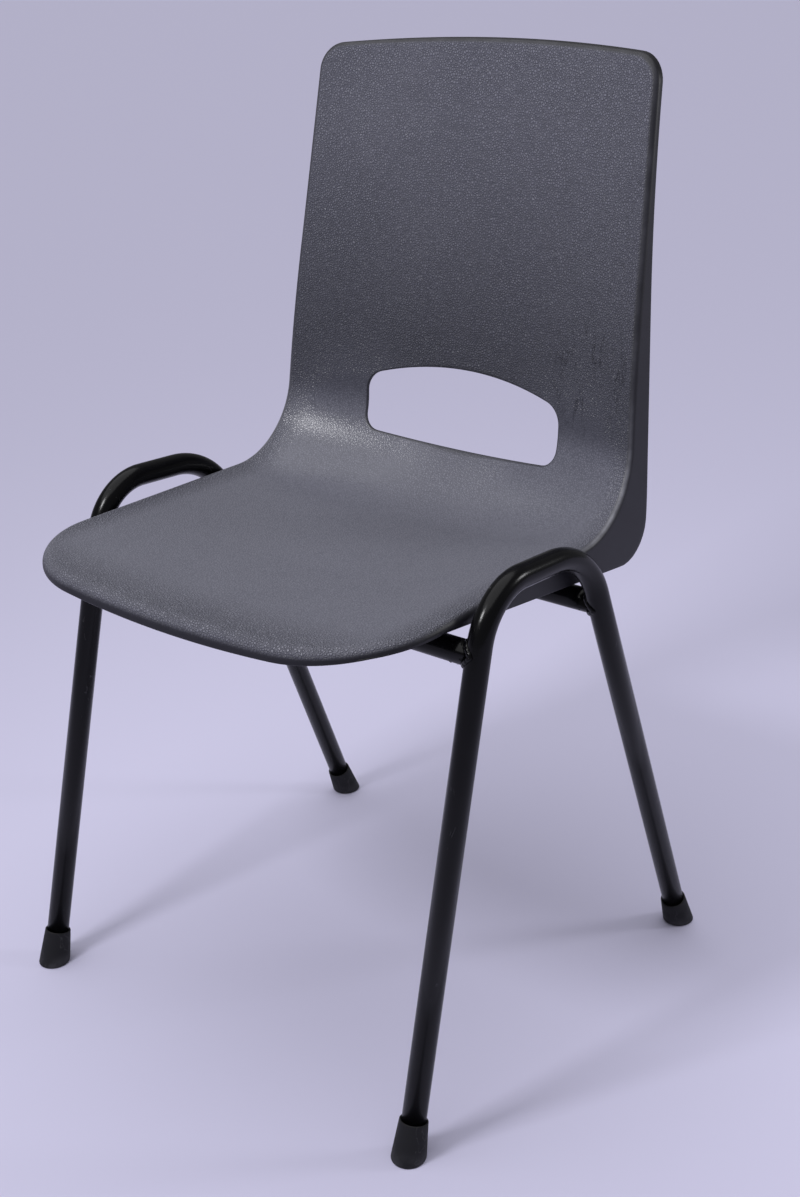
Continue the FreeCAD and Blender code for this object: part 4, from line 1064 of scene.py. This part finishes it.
def seat_screw(place, side):
    """Rings from the middle of the head out over its crown, under it and up the shank."""
    y, z = cross_place(place)
    circle = on_circle((0, 0), 1, turns(ROUND_SIDES))
    seat = z - TUBE
    layers = []
    for share in np.linspace(0.04, 1, 26):
        size = HEAD * share
        flat = size * circle
        bar = np.minimum(np.abs(flat[:, 0]), np.abs(flat[:, 1]))
        sunk = (ease((RECESS_BAR - bar) / BAR_SOFT + 0.5)
                * ease((RECESS_REACH - size) / REACH_SOFT + 0.5))
        crown = seat - HEAD_HEIGHT * (1 - share ** 4) ** 0.5
        layers.append(np.column_stack([flat, crown + RECESS_DEPTH * sunk]))
    for size, height in ((HEAD, seat), (SCREW, seat), (SCREW, z + TUBE + BITE - 1),
                         (SCREW * 0.7, z + TUBE + BITE)):
        layers.append(np.column_stack([size * circle, np.full(ROUND_SIDES, height)]))
    return tube_of_rings(np.stack(layers) + np.array([side * SADDLE_SPREAD, y, 0]))


screws = make_piece("pan_head_screws",
                    [seat_screw(place, side) for place in CROSS_HEIGHTS for side in (1, -1)],
                    "seat_screws")

# %% [markdown]
# ## Adding shader nodes
# A finish is a recipe of nodes. One small class adds them to a tree, so that a recipe reads
# as a few lines of mixes: an input takes another node's output or a plain value.

# %% Node helpers
class Nodes:
    """Adds nodes to one shader tree."""

    def __init__(self, tree):
        """Keep the tree."""
        self.tree = tree

    def feed(self, socket, value):
        """Link an output to an input, or write a number, a vector or a colour on it."""
        if isinstance(value, bpy.types.NodeSocket):
            self.tree.links.new(value, socket)
        else:
            socket.default_value = (*value, 1.0) if socket.type == "RGBA" else value

    def add(self, kind, settings=None, **inputs):
        """A node with properties and with inputs that are given by name."""
        node = self.tree.nodes.new("ShaderNode" + kind)
        for name, value in (settings or {}).items():
            setattr(node, name, value)
        for name, value in inputs.items():
            self.feed(node.inputs[name.replace("_", " ")], value)
        return node

    def use(self, effect, **inputs):
        """The mask or height that a shared effect puts out."""
        return self.add("Group", {"node_tree": effect}, **inputs).outputs[0]

    def mask(self, name):
        """A mask that was stored on the mesh."""
        return self.add("Attribute", {"attribute_name": name}).outputs["Fac"]

    def place(self):
        """The place on the object, in metres."""
        return self.add("TexCoord").outputs["Object"]

    def noise(self, place, output="Fac", **inputs):
        """Cloudy noise."""
        return self.add("TexNoise", Vector=place, **inputs).outputs[output]

    def step(self, source, low, high):
        """A smooth step of a value between two levels."""
        node = self.add("MapRange", {"interpolation_type": "SMOOTHSTEP"},
                        Value=source, From_Min=low, From_Max=high)
        return node.outputs["Result"]

    def math(self, operation, *values, kind="Math", output="Value"):
        """A sum, product or other operation on numbers, or on vectors with kind VectorMath."""
        node = self.add(kind, {"operation": operation})
        for socket, value in zip(node.inputs, values):
            self.feed(socket, value)
        return node.outputs[output]

    def mix(self, share, first, second, data="RGBA", kind="RGBA"):
        """Two colours mixed by a mask."""
        node = self.add("Mix", {"data_type": data}, Factor=share)
        for name, value in (("A", first), ("B", second)):
            self.feed(next(s for s in node.inputs if s.name == name and s.type == kind), value)
        return next(s for s in node.outputs if s.type == kind)

    def mix_value(self, share, first, second):
        """Two numbers or masks mixed by a mask."""
        return self.mix(share, first, second, data="FLOAT", kind="VALUE")

    def bump(self, height, distance, strength):
        """A raised surface."""
        return self.add("Bump", Height=height, Distance=distance, Strength=strength).outputs[0]


# %% [markdown]
# ## Shared effects
# Several finishes share an effect, so each effect is a shader group that puts out a mask or a
# height. Pebble grain is a pattern of cells whose edges are the valleys. Smudge is a soft
# cloudy mask for handling marks and dust. Scuffs are thin wandering lines, where a stretched
# noise passes its middle value. Patch is a soft round spot that keeps an effect in its place.

# %% Shared effects
GRAIN_CELLS, GRAIN_VALLEY, GRAIN_BEND = 430.0, 0.28, 0.0016
SCUFF_TURN, SCUFF_STRETCH = (0.0, 0.5, 0.0), (1.0, 0.4, 0.2)
PATCH_CORE = 0.35


def pebble_grain(nodes, given):
    """Cells of irregular size: distance to the nearest cell edge, softened, from bent places."""
    place = nodes.place()
    bend = nodes.noise(place, "Color", Scale=300.0, Detail=2.0)
    moved = nodes.math("MULTIPLY_ADD", bend, (GRAIN_BEND,) * 3, place,
                       kind="VectorMath", output="Vector")
    cells = nodes.add("TexVoronoi", {"feature": "DISTANCE_TO_EDGE"}, Vector=moved,
                      Scale=given["Cells per metre"])
    return nodes.step(cells.outputs["Distance"], 0.0, GRAIN_VALLEY)


def smudge(nodes, given):
    """Cloudy noise cut to a soft mask between two levels."""
    cloud = nodes.noise(nodes.place(), Scale=given["Scale"], Detail=7.0, Roughness=0.62)
    return nodes.step(cloud, given["From"], given["To"])


def scuffs(nodes, given):
    """Thin wandering lines: where a stretched noise passes its middle value, broken by another."""
    place = nodes.place()
    stretched = nodes.add("Mapping", Vector=place, Rotation=SCUFF_TURN, Scale=SCUFF_STRETCH)
    wave = nodes.noise(stretched.outputs["Vector"], Scale=given["Scale"], Detail=4.0,
                       Roughness=0.62)
    apart = nodes.math("ABSOLUTE", nodes.math("SUBTRACT", wave, 0.5))
    line = nodes.math("SUBTRACT", 1.0, nodes.math("DIVIDE", apart, given["Width"]))
    breaks = nodes.noise(place, Scale=95.0, Detail=2.0)
    kept = nodes.math("GREATER_THAN", breaks, given["Gaps"])
    return nodes.math("MULTIPLY", nodes.math("MAXIMUM", line, 0.0), kept)


def patch(nodes, given):
    """A soft round patch: full in the middle and gone at a radius from a place in metres."""
    middle = nodes.add("CombineXYZ", X=given["X"], Y=given["Y"], Z=given["Z"]).outputs[0]
    apart = nodes.math("DISTANCE", nodes.place(), middle, kind="VectorMath")
    return nodes.step(nodes.math("DIVIDE", apart, given["Radius"]), 1.0, PATCH_CORE)


def new_effect(build, output, defaults):
    """A shader group named after its recipe: numbers in, with their defaults, and one out."""
    group = bpy.data.node_groups.new(build.__name__, "ShaderNodeTree")
    for name, default in defaults.items():
        socket = group.interface.new_socket(name, in_out="INPUT", socket_type="NodeSocketFloat")
        socket.default_value = default
    group.interface.new_socket(output, in_out="OUTPUT", socket_type="NodeSocketFloat")
    made = build(Nodes(group), group.nodes.new("NodeGroupInput").outputs)
    group.links.new(made, group.nodes.new("NodeGroupOutput").inputs[output])
    return group


PEBBLE = new_effect(pebble_grain, "Height", {"Cells per metre": GRAIN_CELLS})
SMUDGE = new_effect(smudge, "Mask", {"Scale": 9.0, "From": 0.45, "To": 0.75})
SCUFFS = new_effect(scuffs, "Mask", {"Scale": 30.0, "Width": 0.016, "Gaps": 0.42})
PATCH = new_effect(patch, "Mask", {"X": 0.0, "Y": 0.0, "Z": 0.0, "Radius": 0.05})
print("shared effects:", [group.name for group in bpy.data.node_groups])


# %% [markdown]
# ## Putting a finish on pieces
# A recipe feeds the colour, the roughness and the bump of its material's Principled shader.
# What is the same all over a piece, such as how strongly it mirrors, is a plain number on it.

# %% Putting a finish on pieces
def dress(pieces, name, recipe, **numbers):
    """Make a material: plain numbers go on its Principled shader, and the recipe feeds the rest."""
    material = bpy.data.materials.new(name)
    material.use_nodes = True
    nodes = Nodes(material.node_tree)
    inputs = material.node_tree.nodes["Principled BSDF"].inputs
    for socket, value in numbers.items():
        inputs[socket.replace("_", " ")].default_value = value
    for socket, value in zip(("Base Color", "Roughness", "Normal"), recipe(nodes)):
        nodes.feed(inputs[socket], value)
    for piece in pieces:
        piece.data.materials.append(material)
    print("finish:", name, "on", len(pieces), "pieces")


# %% [markdown]
# ## Shell plastic
# The shell is dark grey polypropylene with a fine pebbled face, like leather, whose cells are
# about 2 mm across. The valleys look darker and the tops shine a little. Sitters have polished
# the seat and the bend, the rim has a pale line along the bend, and faint rubs and a few scuffs
# cross the face. The flange has no grain. It looks nearly black, partly from its light, so its
# colour is darker and partly painted shade, and the low back gets painted shade too.

# %% Shell plastic
SCUFF_SPOT = {"X": 0.157, "Y": 0.156, "Z": 0.605, "Radius": 0.075}
GLOSSY_SPOTS = [{"X": x, "Y": 0.14, "Z": 0.50, "Radius": 0.13} for x in (-0.13, 0.13)]


def shell_plastic(nodes):
    """Grain, rubs, painted shade, scuffs and a pale rim line, all mixed by masks over a dark grey.
    """
    grain, polish, inside = (nodes.mask(name) for name in ("grain_amount", "polish", "inside"))
    pebble = nodes.use(PEBBLE)
    rubs = nodes.use(SMUDGE, Scale=5.0, From=0.35, To=0.8)
    fine = nodes.use(SMUDGE, Scale=38.0, From=0.35, To=0.75)
    near_hole = nodes.use(PATCH, **SCUFF_SPOT)
    glossy = nodes.math("MAXIMUM", *[nodes.use(PATCH, **spot) for spot in GLOSSY_SPOTS])
    rubbed = nodes.math("MULTIPLY", rubs, 0.3)
    low_shade = nodes.math("MULTIPLY", nodes.mask("low_shade"), 0.62)
    marked = nodes.math("MULTIPLY", nodes.math("MULTIPLY", nodes.use(SCUFFS), near_hole), 0.65)
    pale_rim = nodes.math("MULTIPLY", nodes.mask("pale_rim_line"), nodes.mix_value(fine, 0.4, 0.8))

    valleys = nodes.mix(polish, (0.078, 0.079, 0.102), (0.104, 0.105, 0.131))
    tone = nodes.mix(pebble, valleys, (0.160, 0.161, 0.198))
    tone = nodes.mix(rubbed, tone, (0.172, 0.173, 0.208))
    tone = nodes.mix(low_shade, tone, (0.030, 0.031, 0.042))
    # Where there is no grain, on the flange and the outer rim, the near-black colour is partly
    # painted shade.
    smooth = nodes.mix(fine, (0.006, 0.006, 0.009), (0.010, 0.010, 0.014))
    tone = nodes.mix(grain, smooth, tone)
    tone = nodes.mix(inside, tone, (0.028, 0.028, 0.034))
    tone = nodes.mix(marked, tone, (0.010, 0.010, 0.016))
    # A pale line along the rim, strongest at the bend.
    tone = nodes.mix(pale_rim, tone, (0.30, 0.30, 0.34))

    gloss = nodes.mix_value(glossy, nodes.mix_value(pebble, 0.60, 0.33), 0.26)
    gloss = nodes.mix_value(inside, nodes.mix_value(grain, 0.44, gloss), 0.5)

    kept = nodes.mix_value(glossy, nodes.mix_value(polish, 0.9, 0.22), 0.06)
    height = nodes.math("MULTIPLY", pebble, nodes.math("MULTIPLY", grain, kept))
    return tone, gloss, nodes.bump(height, 0.001, 1.0)


dress([shell], "shell_plastic", shell_plastic, Specular_IOR_Level=0.38)

# %% [markdown]
# ## Powder coat
# The frame is coated with baked black powder. Such a coat is never quite level: it has the
# soft ripple of orange peel. It shines in a blurred way, with duller rubbed places, thin
# pale scratches and a little dust.

# %% Powder coat
def powder_coat(nodes):
    """Orange peel, a little dust and faint scratches over near black."""
    dust = nodes.use(SMUDGE, Scale=14.0, From=0.5, To=0.9)
    scratches = nodes.use(SCUFFS, Scale=24.0, Width=0.004, Gaps=0.6)
    tone = nodes.mix(dust, (0.0025, 0.0025, 0.003), (0.006, 0.006, 0.007))
    tone = nodes.mix(nodes.math("MULTIPLY", scratches, 0.3), tone, (0.10, 0.10, 0.11))
    peel = nodes.noise(nodes.place(), Scale=420.0, Detail=2.0, Roughness=0.45)
    return tone, nodes.mix_value(dust, 0.21, 0.26), nodes.bump(peel, 0.0001, 0.3)


dress([*hoops.values(), *cross_tubes.values(), weld_seams], "frame_powder_coat", powder_coat,
      Specular_IOR_Level=0.19)

# %% [markdown]
# ## Cap rubber
# The caps are matte black rubber with the fine sandy skin of a blasted mould. Dust greys them
# near the floor, where a smooth step of the height lets it fade, and a few scrapes cross them.

# %% Cap rubber
def cap_rubber(nodes):
    """A sandy skin, dust that fades upwards from the floor, and scuffs."""
    cloud = nodes.use(SMUDGE, Scale=60.0, From=0.3, To=0.75)
    scraped = nodes.math("MULTIPLY", nodes.use(SCUFFS, Scale=70.0, Width=0.01), 0.4)
    height = nodes.add("SeparateXYZ", Vector=nodes.place()).outputs["Z"]
    dusty = nodes.math("MULTIPLY", nodes.step(height, 0.016, 0.0), cloud)
    tone = nodes.mix(cloud, (0.005, 0.005, 0.0065), (0.010, 0.010, 0.012))
    tone = nodes.mix(dusty, tone, (0.05, 0.049, 0.055))
    tone = nodes.mix(scraped, tone, (0.07, 0.07, 0.075))
    sand = nodes.noise(nodes.place(), Scale=1500.0, Detail=2.0)
    return tone, nodes.mix_value(cloud, 0.58, 0.8), nodes.bump(sand, 0.00008, 0.5)


dress(foot_caps, "cap_rubber", cap_rubber, Specular_IOR_Level=0.35)

# %% [markdown]
# ## Plated steel
# The screws are zinc-plated steel, pale and slightly clouded. One cloudy mask moves tone,
# roughness and bump together, as a thin plating that has dulled in places does.

# %% Plated steel
def plated_steel(nodes):
    """Clouded zinc: metallic, with roughness and tone that drift a little."""
    cloud = nodes.use(SMUDGE, Scale=240.0, From=0.3, To=0.7)
    tone = nodes.mix(cloud, (0.55, 0.56, 0.58), (0.40, 0.40, 0.43))
    return tone, nodes.mix_value(cloud, 0.28, 0.45), nodes.bump(cloud, 0.00003, 0.4)


dress([screws], "screw_steel", plated_steel, Metallic=1.0)
